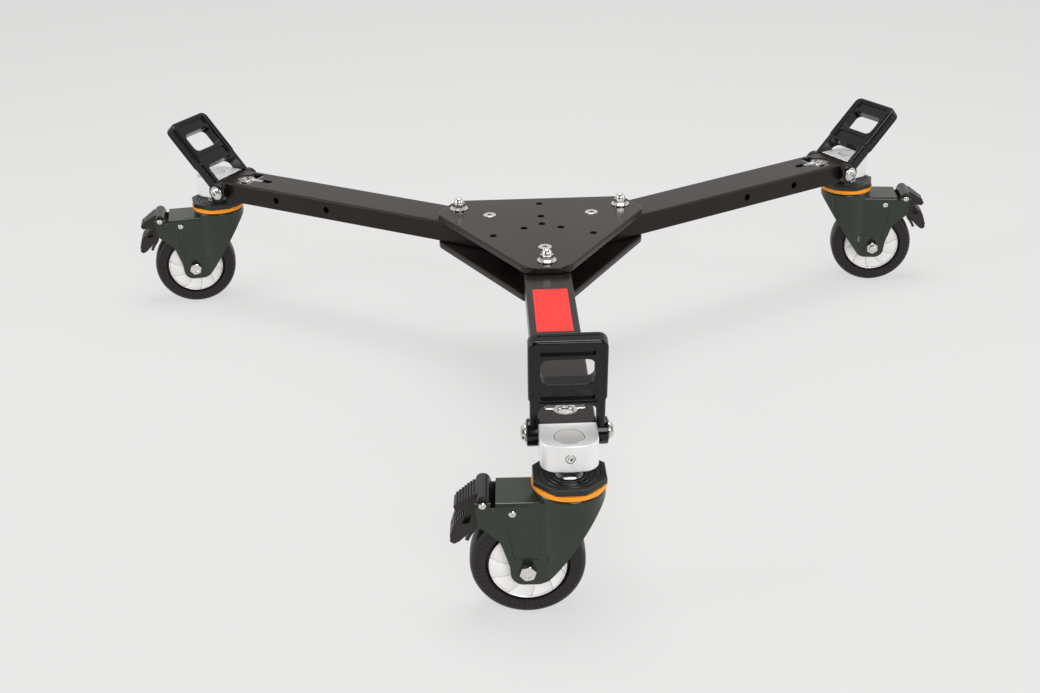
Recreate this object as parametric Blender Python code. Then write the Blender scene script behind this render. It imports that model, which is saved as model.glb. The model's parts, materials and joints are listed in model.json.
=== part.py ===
"""Camera floor dolly, built from its separate pieces.

Two triangular plates clamp three fixed box-section arms.  Each arm carries a spike seat, a
flip-over foot clamp and, in a bright end block, a stem caster with a rear brake pedal.
Metres, +Z up, floor at z = 0.  An arm's own frame has X outward along the arm and Y across it;
a caster's frame has X from its swivel axis towards its trailing axle.
"""
import math

import bmesh
import bpy
from mathutils import Matrix, Vector

# Facets round a full circle
LARGE_FACETS = 20
MEDIUM_FACETS = 16
SMALL_FACETS = 12
TINY_FACETS = 8

# Clearances
SEAT_GAP = 0.0003          # between two faces that rest on each other
HOLE_GAP = 0.0003          # round a shaft in its hole
COARSE_HOLE_GAP = 0.0005   # where the hole or shaft has few facets
RUNNING_GAP = 0.0003       # between a turning piece and the faces beside it

# Where the arms point, the caster's trailing direction and the clamp's lean, all in degrees
ARM_HEADING = {"front": -90.0, "left": 150.0, "right": 30.0}
CASTER_HEADING = {"front": 178.5, "left": 189.0, "right": -7.7}
LEVER_LEAN = {"front": 11.0, "left": 43.0, "right": 49.0}

# Arms
TUBE_W = 0.050
TUBE_H = 0.025
TUBE_WALL = 0.0025
TUBE_CORNER = 0.0016
TUBE_INNER_END = 0.042
TUBE_OUTER_END = 0.447
SIDE_HOLE_R = 0.004
SIDE_HOLE_BACK = (0.165, 0.090)    # from the arm's outer end

# Centre plates
PLATE_T = 0.008
PLATE_APOTHEM = 0.0837
PLATE_TIP = 0.1275
PLATE_CORNER = 0.014
PLATE_EDGE = 0.0012
PLATE_HOLE_R = 0.003
INNER_RING_R = 0.024
OUTER_RING_R = 0.0645

# Clamping screws through plates and arms
STUD_AT = 0.1088
STUD_R = 0.004
STUD_HEX = 0.013
STUD_HEAD_H = 0.0053
NUT_WASHER_R = 0.0105
NUT_WASHER_T = 0.0015
NUT_HEX_H = 0.0060
NUT_DOME_H = 0.0066
SCREW_AT = 0.0679
SCREW_R = 0.004
SCREW_HEAD_R = 0.0075
SCREW_SOCKET = 0.005
SCREW_SOCKET_DEPTH = 0.0026

# End block and the stem it holds
STEM_AHEAD = 0.024         # stem's axis beyond the arm's outer end
STEM_R = 0.0127
BLOCK_NOSE = 0.0175        # from the stem's axis to the block's front
BLOCK_CROWN = 0.0015       # how far the front face bulges
BLOCK_EDGE = 0.0008
TONGUE_LENGTH = 0.0125
SET_SCREW_R = 0.004
SET_SCREW_SOCKET = 0.004
SET_SCREW_SINK = 0.0008

# Spike seat and the arm's slots over it
SEAT_BACK = (0.053, 0.0145)        # its ends, from the arm's outer end
SLOT_BACK = (0.043, 0.025)         # transverse slot, from the arm's outer end
SLOT_CORNER = 0.003
KEYWAY_BACK = 0.066                # lengthwise slot
KEYWAY_HALF_W = 0.0042
CUP_R = 0.0108
CUP_MOUTH_R = 0.0072
CUP_DEPTH = 0.010
SEAT_SINK = 0.0006         # the seat's top below the arm's top
TROUGH_R = 0.0078
TROUGH_DEPTH = 0.0068

# Foot clamp
HINGE_BACK = 0.0060        # hinge axis, from the arm's outer end
HINGE_DROP = 0.0117        # and below the arm's top
LEVER_LENGTH = 0.1030
LEVER_T = 0.0148
LEVER_LEG_T = 0.0069
LEVER_SIDE_GAP = 0.0004
LEVER_SHOULDER = 0.040
LEVER_STEP = 0.0013        # how far the shoulders stand out
LEVER_CORNER = 0.008
LEVER_EDGE = 0.0018
LEVER_HUB_R = 0.0122
LEVER_HUB_T = 0.0100
ARCH_TOP = 0.035
ARCH_CORNER = 0.009
WINDOW_FROM = 0.0565
WINDOW_TO = 0.0825
WINDOW_CORNER = 0.0065
POCKET_DEPTH = 0.0032
TOP_POCKET = (0.0865, 0.0955)
LOW_POCKET = (0.0395, 0.0510)
PIVOT_R = 0.004
PIVOT_WASHER_R = 0.0085
PIVOT_WASHER_T = 0.0012
PIVOT_HEAD_R = 0.0068
PIVOT_HEAD_H = 0.0036
PIVOT_SOCKET = 0.005

# Swivel head
STEM_HEX = 0.019
STEM_NECK = 0.0090          # from the cap's top up to the arm's underside
COLLAR_R = 0.0118
COLLAR_T = 0.0014
KINGPIN_R = 0.006
KINGPIN_FLANGE_R = 0.010
KINGPIN_FLANGE_T = 0.005
CAP_ABOVE_WHEEL = 0.0345    # the cap's top over the top of the wheel
CAP_T = 0.0057
CAP_EDGE = 0.0008
CAP_DISH_DEPTH = 0.0030
CAP_RIBS = 2
SEAL_LIP = 0.0013          # how far the seal stands out past the crown
SEAL_BORE_R = 0.020
SEAL_T = 0.0050

# Fork
FORK_T = 0.0025
FORK_ROOM = 0.0045         # between a leg and the tyre's side
CROWN_R = 0.0315
CROWN_EDGE = 0.0022
CROWN_STEP = 0.0062        # the rear panel below the crown
PANEL_END = 0.0635
EAR_R = 0.0072
TRAIL = 0.0370
FOOT_DROP = 0.0145         # the fork's lower end below the axle
FOOT_HALF_W = 0.0140
FOOT_CORNER = 0.0115
STOP_RIVET_BACK = (0.0252, 0.0088)  # from the brake pin, forward and down
STOP_RIVET_R = 0.0025
RIVET_HEAD_R = 0.0040
RIVET_HEAD_H = 0.0016
PANEL_RECESS = 0.0009

# Wheel
WHEEL_R = 0.051
TYRE_HALF_W = 0.016
TYRE_DEPTH = 0.0152
TYRE_SHOULDER = 0.0045
CORE_WEB_IN = 0.0026       # the core's web in from the tyre's side
CORE_FACE_IN = 0.0008      # and its ribs and rim
CORE_HUB_R = 0.0105
CORE_RIBS = 6
CORE_RIB_T = 0.0011
AXLE_R = 0.004
AXLE_HEX = 0.013
AXLE_HEAD_H = 0.0055
AXLE_NUT_H = 0.0062
AXLE_END = 0.0016

# Brake pedal
BRAKE_BACK = 0.0745        # brake pin behind the swivel axis
BRAKE_DROP = 0.0008        # and below the rear panel
BARREL_R = 0.0065
BRAKE_PIN_R = 0.0025
PEDAL_HALF_W = 0.0125
SHOE_HALF_W = 0.0110
SHOE_CLEAR = 0.0045        # free gap to the tyre with the brake off
SHOE_T = 0.0040
SHOE_ARC = (25.0, 40.0)    # degrees above the axle's level
TREAD_RIBS = 5
TREAD_RIB_H = 0.0009
PADDLE_RIBS = 3

# Worked out from the sizes above
CAP_TOP = 2 * WHEEL_R + CAP_ABOVE_WHEEL
CAP_LOW = CAP_TOP - CAP_T
SEAL_TOP = CAP_LOW - SEAT_GAP
SEAL_LOW = SEAL_TOP - SEAL_T
CROWN_TOP = SEAL_LOW - SEAT_GAP
CROWN_CEILING = CROWN_TOP - FORK_T
PANEL_TOP = CROWN_TOP - CROWN_STEP
PANEL_CEILING = PANEL_TOP - FORK_T
BRAKE_AT = (BRAKE_BACK, PANEL_TOP - BRAKE_DROP)
STOP_RIVET_AT = (BRAKE_AT[0] - STOP_RIVET_BACK[0], BRAKE_AT[1] - STOP_RIVET_BACK[1])
TUBE_BOTTOM = CAP_TOP + STEM_NECK
TUBE_TOP = TUBE_BOTTOM + TUBE_H
TUBE_MID = TUBE_TOP - TUBE_H / 2
PLATE_LOW = TUBE_TOP + SEAT_GAP
PLATE_TOP = PLATE_LOW + PLATE_T
BASE_TOP = TUBE_BOTTOM - SEAT_GAP
BASE_LOW = BASE_TOP - PLATE_T
STEM_AT = TUBE_OUTER_END + STEM_AHEAD
BLOCK_CORNER = TUBE_W * 0.29
HINGE_AT = TUBE_OUTER_END - HINGE_BACK
HINGE_Z = TUBE_TOP - HINGE_DROP
SIDE_HOLE_AT = tuple(TUBE_OUTER_END - back for back in SIDE_HOLE_BACK)
SEAT_INNER_END, SEAT_OUTER_END = (TUBE_OUTER_END - back for back in SEAT_BACK)
SEAT_HALF_W = TUBE_W / 2 - TUBE_WALL - 0.0005
SLOT_FROM, SLOT_TO = (TUBE_OUTER_END - back for back in SLOT_BACK)
SLOT_HALF_W = TUBE_W / 2 - 0.0065
KEYWAY_FROM = TUBE_OUTER_END - KEYWAY_BACK
CUP_AT = SLOT_TO - 0.001
LEVER_LEG_IN = TUBE_W / 2 + LEVER_SIDE_GAP
LEVER_LEG_OUT = LEVER_LEG_IN + LEVER_LEG_T
LEVER_HALF_W = LEVER_LEG_OUT + LEVER_STEP
LEVER_HUB_OUT = LEVER_LEG_IN + LEVER_HUB_T
WINDOW_HALF_W = LEVER_LEG_IN - 0.0024
POCKET_HALF_W = LEVER_LEG_IN - 0.0009
FORK_IN = TYRE_HALF_W + FORK_ROOM
FORK_HALF_W = FORK_IN + FORK_T
CROWN_POCKET_R = CROWN_R - 0.006   # round space under the crown for the kingpin's flange
CAP_ACROSS = 2 * CROWN_R
CAP_DISH_R = CROWN_R - 0.0043
SEAL_R = CROWN_R + SEAL_LIP
TYRE_INNER_R = WHEEL_R - TYRE_DEPTH
CORE_FACE_R = TYRE_INNER_R - 0.0013
CORE_FACE_Y = TYRE_HALF_W - CORE_FACE_IN
CORE_WEB_Y = TYRE_HALF_W - CORE_WEB_IN
CORE_RIM_Y = CORE_WEB_Y + 0.0002
LEG_NAMES = tuple(ARM_HEADING)


def clear_scene():
    """Take every object out of the open scene."""
    for item in list(bpy.data.objects):
        bpy.data.objects.remove(item, do_unlink=True)


def make_material(name, colour, roughness, metallic=0.0):
    """A plain Principled material in linear colour."""
    material = bpy.data.materials.new(name)
    material.use_nodes = True
    shader = material.node_tree.nodes["Principled BSDF"]
    shader.inputs["Base Color"].default_value = (*colour, 1.0)
    shader.inputs["Roughness"].default_value = roughness
    shader.inputs["Metallic"].default_value = metallic
    return material


# Outlines

def rounded(corners, facets=TINY_FACETS):
    """Points of a closed outline given as (x, y, radius) corners."""
    points = []
    count = len(corners)
    for index, (x, y, radius) in enumerate(corners):
        here = Vector((x, y))
        if radius <= 0:
            points.append((x, y))
            continue
        before = Vector(corners[index - 1][:2])
        after = Vector(corners[(index + 1) % count][:2])
        back = (before - here).normalized()
        ahead = (after - here).normalized()
        opening = back.angle(ahead)
        centre = here + (back + ahead).normalized() * (radius / math.sin(opening / 2))
        first = here + back * (radius / math.tan(opening / 2)) - centre
        sweep = math.pi - opening
        turn = 1.0 if back.x * ahead.y - back.y * ahead.x < 0 else -1.0
        steps = max(1, round(facets * sweep / math.tau))
        for step in range(steps + 1):
            angle = turn * sweep * step / steps
            cos, sin = math.cos(angle), math.sin(angle)
            points.append((centre.x + first.x * cos - first.y * sin,
                           centre.y + first.x * sin + first.y * cos))
    return points


def rectangle(x_low, x_high, y_low, y_high, radius=0.0):
    """Corners of a rectangle with equal corner radii."""
    return [(x_low, y_low, radius), (x_high, y_low, radius),
            (x_high, y_high, radius), (x_low, y_high, radius)]


def polygon(across_flats, sides, turn=0.0):
    """Points of a regular polygon with a flat towards its turn direction."""
    corner_r = across_flats / 2 / math.cos(math.pi / sides)
    angles = [turn + math.pi / sides + math.tau * k / sides for k in range(sides)]
    return [(corner_r * math.cos(a), corner_r * math.sin(a)) for a in angles]


# Solids

PLANES = {
    "X": lambda a, b, c: (c, a, b),    # outline in Y, Z
    "Y": lambda a, b, c: (a, c, b),    # outline in X, Z
    "Z": lambda a, b, c: (a, b, c),    # outline in X, Y
}


def prism(points, low, high, axis="Z", edge=0.0):
    """A straight extrusion of an outline, its two rims rounded by edge."""
    bm = bmesh.new()
    place = PLANES[axis]
    face = bm.faces.new([bm.verts.new(place(a, b, low)) for a, b in points])
    grown = bmesh.ops.extrude_face_region(bm, geom=[face])
    moved = [item for item in grown["geom"] if isinstance(item, bmesh.types.BMVert)]
    bmesh.ops.translate(bm, verts=moved, vec=Vector(place(0.0, 0.0, high - low)))
    bmesh.ops.recalc_face_normals(bm, faces=bm.faces)
    if edge > 0:
        index = "XYZ".index(axis)
        rim = [e for e in bm.edges if abs(e.verts[0].co[index] - e.verts[1].co[index]) < 1e-7]
        bmesh.ops.bevel(bm, geom=rim, offset=edge, offset_type="OFFSET", affect="EDGES",
                        segments=1, profile=0.5, material=-1)
    return bm


def turned(profile, axis="Z", segments=MEDIUM_FACETS, centre=(0.0, 0.0)):
    """A solid of revolution; profile is (radius, height) and may touch the axis."""
    bm = bmesh.new()
    verts = [bm.verts.new((radius, 0.0, height)) for radius, height in profile]
    edges = [bm.edges.new((verts[k], verts[(k + 1) % len(verts)])) for k in range(len(verts))]
    on_axis = [e for e in edges if max(abs(v.co.x) for v in e.verts) < 1e-9]
    bmesh.ops.delete(bm, geom=on_axis, context="EDGES")
    bmesh.ops.spin(bm, geom=bm.verts[:] + bm.edges[:], cent=(0, 0, 0), axis=(0, 0, 1),
                   angle=math.tau, steps=segments, use_merge=True, use_duplicate=False)
    bmesh.ops.remove_doubles(bm, verts=bm.verts, dist=1e-6)
    bmesh.ops.recalc_face_normals(bm, faces=bm.faces)
    a, b = centre
    if axis == "X":
        bmesh.ops.rotate(bm, verts=bm.verts, matrix=Matrix.Rotation(math.pi / 2, 3, "Y"))
        bmesh.ops.translate(bm, verts=bm.verts, vec=(0, a, b))
    elif axis == "Y":
        bmesh.ops.rotate(bm, verts=bm.verts, matrix=Matrix.Rotation(-math.pi / 2, 3, "X"))
        bmesh.ops.translate(bm, verts=bm.verts, vec=(a, 0, b))
    else:
        bmesh.ops.translate(bm, verts=bm.verts, vec=(a, b, 0))
    return bm


def rod(radius, low, high, axis="Z", centre=(0.0, 0.0), segments=SMALL_FACETS):
    """A plain round bar or drill."""
    return turned([(0, low), (radius, low), (radius, high), (0, high)], axis, segments, centre)


def gather(*solids):
    """Several solids that don't meet, as one tool."""
    whole = bmesh.new()
    for bm in solids:
        mesh = bpy.data.meshes.new("gathered")
        bm.to_mesh(mesh)
        bm.free()
        whole.from_mesh(mesh)
        bpy.data.meshes.remove(mesh)
    return whole


def mirrored(bm, axis):
    """The same solid on the other side of the plane square to axis."""
    twin = bm.copy()
    scale = Vector((1, 1, 1))
    scale["XYZ".index(axis)] = -1
    bmesh.ops.scale(twin, vec=scale, verts=twin.verts)
    bmesh.ops.reverse_faces(twin, faces=twin.faces)
    return gather(bm, twin)


class Workpiece:
    """A solid on the bench: tools are joined to it or cut from it, then its mesh is taken."""

    def __init__(self, bm):
        self.item = self.lay_out(bm)

    @staticmethod
    def lay_out(bm):
        mesh = bpy.data.meshes.new("solid")
        bm.to_mesh(mesh)
        bm.free()
        item = bpy.data.objects.new("solid", mesh)
        bpy.context.scene.collection.objects.link(item)
        return item

    def combine(self, bm, operation):
        tool = self.lay_out(bm)
        modifier = self.item.modifiers.new(operation, "BOOLEAN")
        modifier.operation = operation
        modifier.solver = "EXACT"
        modifier.object = tool
        graph = bpy.context.evaluated_depsgraph_get()
        result = bpy.data.meshes.new_from_object(self.item.evaluated_get(graph))
        self.item.modifiers.clear()
        used = [self.item.data, tool.data]
        self.item.data = result
        bpy.data.objects.remove(tool)
        for mesh in used:
            bpy.data.meshes.remove(mesh)
        return self

    def join(self, bm):
        return self.combine(bm, "UNION")

    def cut(self, bm):
        return self.combine(bm, "DIFFERENCE")

    def keep(self, bm):
        return self.combine(bm, "INTERSECT")

    def as_tool(self):
        """Take the solid off the bench to use it on another."""
        bm = bmesh.new()
        bm.from_mesh(self.item.data)
        bpy.data.objects.remove(self.item)
        return bm

    def finish(self, name, material, sharp_angle=32.0):
        mesh = self.item.data
        bpy.data.objects.remove(self.item)
        bm = bmesh.new()
        bm.from_mesh(mesh)
        bmesh.ops.remove_doubles(bm, verts=bm.verts, dist=1e-6)
        bmesh.ops.dissolve_limit(bm, angle_limit=math.radians(0.3), verts=bm.verts, edges=bm.edges)
        bmesh.ops.triangulate(bm, faces=bm.faces)
        bm.to_mesh(mesh)
        bm.free()
        mesh.name = name
        mesh.materials.clear()
        mesh.materials.append(material)
        mesh.shade_smooth()
        mesh.set_sharp_from_angle(angle=math.radians(sharp_angle))
        return mesh


def place(name, mesh, parent, location=(0, 0, 0), rotation=(0, 0, 0)):
    """Put a named piece on its parent."""
    item = bpy.data.objects.new(name, mesh)
    bpy.context.scene.collection.objects.link(item)
    item.parent = parent
    item.location = location
    item.rotation_euler = rotation
    return item


def joint_empty(name, parent, location, rotation=(0, 0, 0)):
    """An axis marker that carries the pieces which move about it."""
    return place(name, None, parent, location, rotation)


# Centre

def plate_outline():
    """Triangle cut short at each arm."""
    half_tip = (2 * PLATE_APOTHEM - PLATE_TIP) * math.tan(math.radians(30))
    corners = []
    for heading in sorted(ARM_HEADING.values()):
        along = Vector((math.cos(math.radians(heading)), math.sin(math.radians(heading))))
        across = Vector((-along.y, along.x))
        for side in (-1, 1):
            corner = along * PLATE_TIP + across * half_tip * side
            corners.append((corner.x, corner.y, PLATE_CORNER))
    return rounded(corners, MEDIUM_FACETS)


def on_heading(radius, heading):
    """The point at radius along a heading in degrees."""
    return (radius * math.cos(math.radians(heading)), radius * math.sin(math.radians(heading)))


def make_top_plate(material):
    plate = Workpiece(prism(plate_outline(), PLATE_LOW, PLATE_TOP, "Z", PLATE_EDGE))
    over, under = PLATE_TOP + 0.001, PLATE_LOW - 0.001
    drills = [rod(PLATE_HOLE_R, under, over, "Z", (0, 0), TINY_FACETS)]
    for heading in ARM_HEADING.values():
        for ring in (INNER_RING_R, OUTER_RING_R):
            centre = on_heading(ring, heading + 180)
            drills.append(rod(PLATE_HOLE_R, under, over, "Z", centre, TINY_FACETS))
        centre = on_heading(STUD_AT, heading)
        drills.append(rod(STUD_R + COARSE_HOLE_GAP, under, over, "Z", centre, TINY_FACETS))
        drills.append(countersink(on_heading(SCREW_AT, heading), under))
    plate.cut(gather(*drills))
    return plate.finish("top_plate", material)


def countersink(centre, under):
    """Drill and cone for a flat-head screw."""
    hole = SCREW_R + COARSE_HOLE_GAP
    mouth = SCREW_HEAD_R + HOLE_GAP
    over = PLATE_TOP + 0.001
    profile = [(0, under), (hole, under), (hole, PLATE_TOP - (mouth - hole)), (mouth, PLATE_TOP),
               (mouth, over), (0, over)]
    return turned(profile, "Z", SMALL_FACETS, centre)


def make_bottom_plate(material):
    plate = Workpiece(prism(plate_outline(), BASE_LOW, BASE_TOP, "Z", PLATE_EDGE))
    over, under = BASE_TOP + 0.001, BASE_LOW - 0.001
    drills = []
    for heading in ARM_HEADING.values():
        for radius, at in ((STUD_R, STUD_AT), (SCREW_R, SCREW_AT)):
            centre = on_heading(at, heading)
            drills.append(rod(radius + COARSE_HOLE_GAP, under, over, "Z", centre, TINY_FACETS))
    plate.cut(gather(*drills))
    return plate.finish("bottom_plate", material)


def make_arm_bolt(material):
    """Hex bolt up through both plates; its frame stands on the stud's axis."""
    head_top = BASE_LOW - SEAT_GAP
    bolt = Workpiece(prism(polygon(STUD_HEX, 6), head_top - STUD_HEAD_H, head_top, "Z"))
    thread_end = PLATE_TOP + NUT_WASHER_T + NUT_HEX_H + NUT_DOME_H * 0.3
    bolt.join(rod(STUD_R, head_top - STUD_HEAD_H / 2, thread_end, "Z", (0, 0), TINY_FACETS))
    return bolt.finish("arm_bolt", material)


def make_dome_nut(material):
    low = PLATE_TOP + SEAT_GAP
    washer_top = low + NUT_WASHER_T
    hex_top = washer_top + NUT_HEX_H
    dome_r = STUD_HEX * 0.455
    body = [(0, low), (NUT_WASHER_R, low), (NUT_WASHER_R, washer_top), (dome_r, washer_top)]
    for step in range(4):
        angle = math.pi / 2 * step / 3
        body.append((dome_r * math.cos(angle), hex_top + NUT_DOME_H * math.sin(angle)))
    nut = Workpiece(turned(body, "Z", SMALL_FACETS))
    nut.join(prism(polygon(STUD_HEX, 6), washer_top - NUT_WASHER_T / 2, hex_top))
    bore_top = PLATE_TOP + NUT_WASHER_T + NUT_HEX_H + NUT_DOME_H * 0.3 + HOLE_GAP
    nut.cut(rod(STUD_R + COARSE_HOLE_GAP, low - 0.001, bore_top, "Z", (0, 0), TINY_FACETS))
    return nut.finish("dome_nut", material)


def make_plate_screw(material):
    """Flat-head socket screw, flush in the top plate."""
    top = PLATE_TOP - 0.0001
    cone = SCREW_HEAD_R - SCREW_R
    profile = [(0, BASE_LOW + 0.001), (SCREW_R, BASE_LOW + 0.001), (SCREW_R, top - cone),
               (SCREW_HEAD_R, top), (0, top)]
    screw = Workpiece(turned(profile, "Z", SMALL_FACETS))
    screw.cut(prism(polygon(SCREW_SOCKET, 6), top - SCREW_SOCKET_DEPTH, top + 0.001, "Z"))
    return screw.finish("plate_screw", material)


# Arm

def make_arm_tube(material):
    outside = rounded(rectangle(-TUBE_W / 2, TUBE_W / 2, TUBE_BOTTOM, TUBE_TOP, TUBE_CORNER), 4)
    tube = Workpiece(prism(outside, TUBE_INNER_END, TUBE_OUTER_END, "X"))
    half_in = TUBE_W / 2 - TUBE_WALL
    inside = rectangle(-half_in, half_in, TUBE_BOTTOM + TUBE_WALL, TUBE_TOP - TUBE_WALL)
    tube.cut(prism(rounded(inside), TUBE_INNER_END - 0.001, TUBE_OUTER_END + 0.001, "X"))
    tube.cut(top_opening())
    for x in (STUD_AT, SCREW_AT):
        tube.cut(rod(STUD_R + COARSE_HOLE_GAP, TUBE_BOTTOM - 0.001, TUBE_TOP + 0.001, "Z", (x, 0),
                     TINY_FACETS))
    reach = TUBE_W / 2 + 0.001
    for x in SIDE_HOLE_AT:
        tube.cut(rod(SIDE_HOLE_R, -reach, reach, "Y", (x, TUBE_MID), TINY_FACETS))
    tube.cut(rod(PIVOT_R + COARSE_HOLE_GAP, -reach, reach, "Y", (HINGE_AT, HINGE_Z), TINY_FACETS))
    return tube.finish("arm_tube", material)


def top_opening():
    """Tool for the joined slots and round hole over the spike seat."""
    low, high = TUBE_TOP - 1.5 * TUBE_WALL, TUBE_TOP + 0.001
    slot = rectangle(SLOT_FROM, SLOT_TO, -SLOT_HALF_W, SLOT_HALF_W, SLOT_CORNER)
    keyway = rectangle(KEYWAY_FROM, CUP_AT, -KEYWAY_HALF_W, KEYWAY_HALF_W, KEYWAY_HALF_W * 0.98)
    opening = Workpiece(prism(rounded(slot), low, high))
    opening.join(prism(rounded(keyway), low, high))
    opening.join(rod(CUP_R + SEAT_GAP, low, high, "Z", (CUP_AT, 0)))
    return opening.as_tool()


def make_caster_block(material):
    """Rounded end block with a tongue that plugs the arm."""
    rear = TUBE_OUTER_END + SEAT_GAP
    nose = STEM_AT + BLOCK_NOSE
    half = TUBE_W / 2
    shoulder = nose - BLOCK_CROWN
    front_turn = half - BLOCK_CORNER
    corners = [(rear, -half, 0), (shoulder, -half, BLOCK_CORNER), (nose, -front_turn * 0.3, front_turn),
               (nose, front_turn * 0.3, front_turn), (shoulder, half, BLOCK_CORNER), (rear, half, 0)]
    block = Workpiece(prism(rounded(corners, MEDIUM_FACETS), TUBE_BOTTOM, TUBE_TOP, "Z", BLOCK_EDGE))
    half_in = TUBE_W / 2 - TUBE_WALL - SEAT_GAP
    tongue = rectangle(-half_in, half_in, TUBE_BOTTOM + TUBE_WALL + SEAT_GAP,
                       TUBE_TOP - TUBE_WALL - SEAT_GAP)
    block.join(prism(rounded(tongue), rear - TONGUE_LENGTH, rear + 0.003, "X"))
    reach = TUBE_W / 2 + 0.001
    block.cut(rod(STEM_R + HOLE_GAP, TUBE_BOTTOM - 0.001, TUBE_TOP + 0.001, "Z", (STEM_AT, 0),
                  MEDIUM_FACETS))
    block.cut(rod(PIVOT_R + COARSE_HOLE_GAP, -reach, reach, "Y", (HINGE_AT, HINGE_Z), TINY_FACETS))
    block.cut(rod(SET_SCREW_R + HOLE_GAP, STEM_AT + STEM_R - 0.002, nose + 0.001, "X", (0, TUBE_MID)))
    return block.finish("caster_block", material)


def make_set_screw(material):
    front = STEM_AT + BLOCK_NOSE - SET_SCREW_SINK
    back = STEM_AT + STEM_R + SEAT_GAP
    screw = Workpiece(rod(SET_SCREW_R, back, front, "X", (0, TUBE_MID)))
    socket = [(y, z + TUBE_MID) for y, z in polygon(SET_SCREW_SOCKET, 6)]
    screw.cut(prism(socket, (front + back) / 2, front + 0.001, "X"))
    return screw.finish("set_screw", material)


def make_foot_seat(material):
    """Alloy seat under the arm's slots: a cross trough, a centre ridge and a spike cup."""
    low = TUBE_BOTTOM + TUBE_WALL + SEAT_GAP
    shelf = TUBE_TOP - TUBE_WALL - SEAT_GAP
    top = TUBE_TOP - SEAT_SINK
    base = rectangle(SEAT_INNER_END, SEAT_OUTER_END, -SEAT_HALF_W, SEAT_HALF_W, 0.003)
    seat = Workpiece(prism(rounded(base), low, shelf, "Z"))
    inside = SEAT_GAP
    slab = rectangle(SLOT_FROM + inside, SLOT_TO - inside, -SLOT_HALF_W + inside,
                     SLOT_HALF_W - inside, SLOT_CORNER - inside)
    seat.join(prism(rounded(slab), shelf - 0.004, top, "Z"))
    trough_x = (SLOT_FROM + SLOT_TO) / 2 + 0.001
    reach = SEAT_HALF_W + 0.001
    seat.cut(rod(TROUGH_R, -reach, reach, "Y", (trough_x, top - TROUGH_DEPTH + TROUGH_R)))
    ridge_half = KEYWAY_HALF_W - inside
    ridge = rectangle(SEAT_INNER_END + 0.001, trough_x + 0.0005, -ridge_half, ridge_half, 0.0015)
    seat.join(prism(rounded(ridge), shelf - 0.0093, top, "Z"))
    seat.join(rod(CUP_R, shelf - 0.0088, top - 0.0007, "Z", (CUP_AT, 0)))
    spike = [(0, top - CUP_DEPTH), (0.0012, top - CUP_DEPTH), (CUP_MOUTH_R, top - 0.002),
             (CUP_MOUTH_R, top + 0.002), (0, top + 0.002)]
    seat.cut(turned(spike, "Z", SMALL_FACETS, (CUP_AT, 0)))
    return seat.finish("foot_seat", material)


# Foot clamp, upright in its own frame with the hinge axis at the origin

def make_foot_lever(material):
    """Moulded bail: two hubs, an arch, a finger window and a thick grip bar."""
    half_t = LEVER_T / 2
    low, high = LEVER_SHOULDER - LEVER_STEP, LEVER_SHOULDER + LEVER_STEP
    side = [(LEVER_LEG_OUT, 0, 0), (LEVER_LEG_OUT, low, 0.002), (LEVER_HALF_W, high, 0.002),
            (LEVER_HALF_W, LEVER_LENGTH, LEVER_CORNER)]
    corners = side + [(-y, z, radius) for y, z, radius in reversed(side)]
    lever = Workpiece(prism(rounded(corners), -half_t, half_t, "X", LEVER_EDGE))
    hub_low = LEVER_LEG_IN - 0.003
    hub = turned([(0, hub_low), (LEVER_HUB_R, hub_low), (LEVER_HUB_R, LEVER_HUB_OUT - 0.001),
                  (LEVER_HUB_R - 0.001, LEVER_HUB_OUT), (0, LEVER_HUB_OUT)], "Y", MEDIUM_FACETS)
    lever.join(mirrored(hub, "Y"))
    reach = LEVER_HUB_R + 0.002
    arch = [(-LEVER_LEG_IN, -reach, 0), (LEVER_LEG_IN, -reach, 0), (LEVER_LEG_IN, ARCH_TOP, ARCH_CORNER),
            (-LEVER_LEG_IN, ARCH_TOP, ARCH_CORNER)]
    lever.cut(prism(rounded(arch), -reach, reach, "X"))
    window = rectangle(-WINDOW_HALF_W, WINDOW_HALF_W, WINDOW_FROM, WINDOW_TO, WINDOW_CORNER)
    lever.cut(prism(rounded(window), -reach, reach, "X"))
    pockets = []
    for low, high in (TOP_POCKET, LOW_POCKET):
        shape = rectangle(-POCKET_HALF_W, POCKET_HALF_W, low, high)
        pockets.append(prism(rounded(shape), half_t - POCKET_DEPTH, half_t + 0.002, "X"))
    lever.cut(gather(*pockets))
    end = LEVER_HUB_OUT + 0.001
    lever.cut(rod(PIVOT_R + COARSE_HOLE_GAP, -end, end, "Y", (0, 0), TINY_FACETS))
    return lever.finish("foot_lever", material)


def make_lever_bolt(material):
    """Hinge bolt with a washer and a button head on each side."""
    face = LEVER_HUB_OUT + RUNNING_GAP
    washer = face + PIVOT_WASHER_T
    end = washer + PIVOT_HEAD_H
    side = [(PIVOT_R, face), (PIVOT_WASHER_R, face), (PIVOT_WASHER_R, washer), (PIVOT_HEAD_R, washer),
            (PIVOT_HEAD_R * 0.85, washer + PIVOT_HEAD_H * 0.7), (PIVOT_HEAD_R * 0.5, end), (0, end)]
    profile = [(r, -y) for r, y in reversed(side)] + side
    bolt = Workpiece(turned(profile, "Y", TINY_FACETS))
    bolt.cut(mirrored(prism(polygon(PIVOT_SOCKET, 6), end - 0.002, end + 0.001, "Y"), "Y"))
    return bolt.finish("lever_bolt", material)


# Swivel head, round the swivel axis

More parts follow.
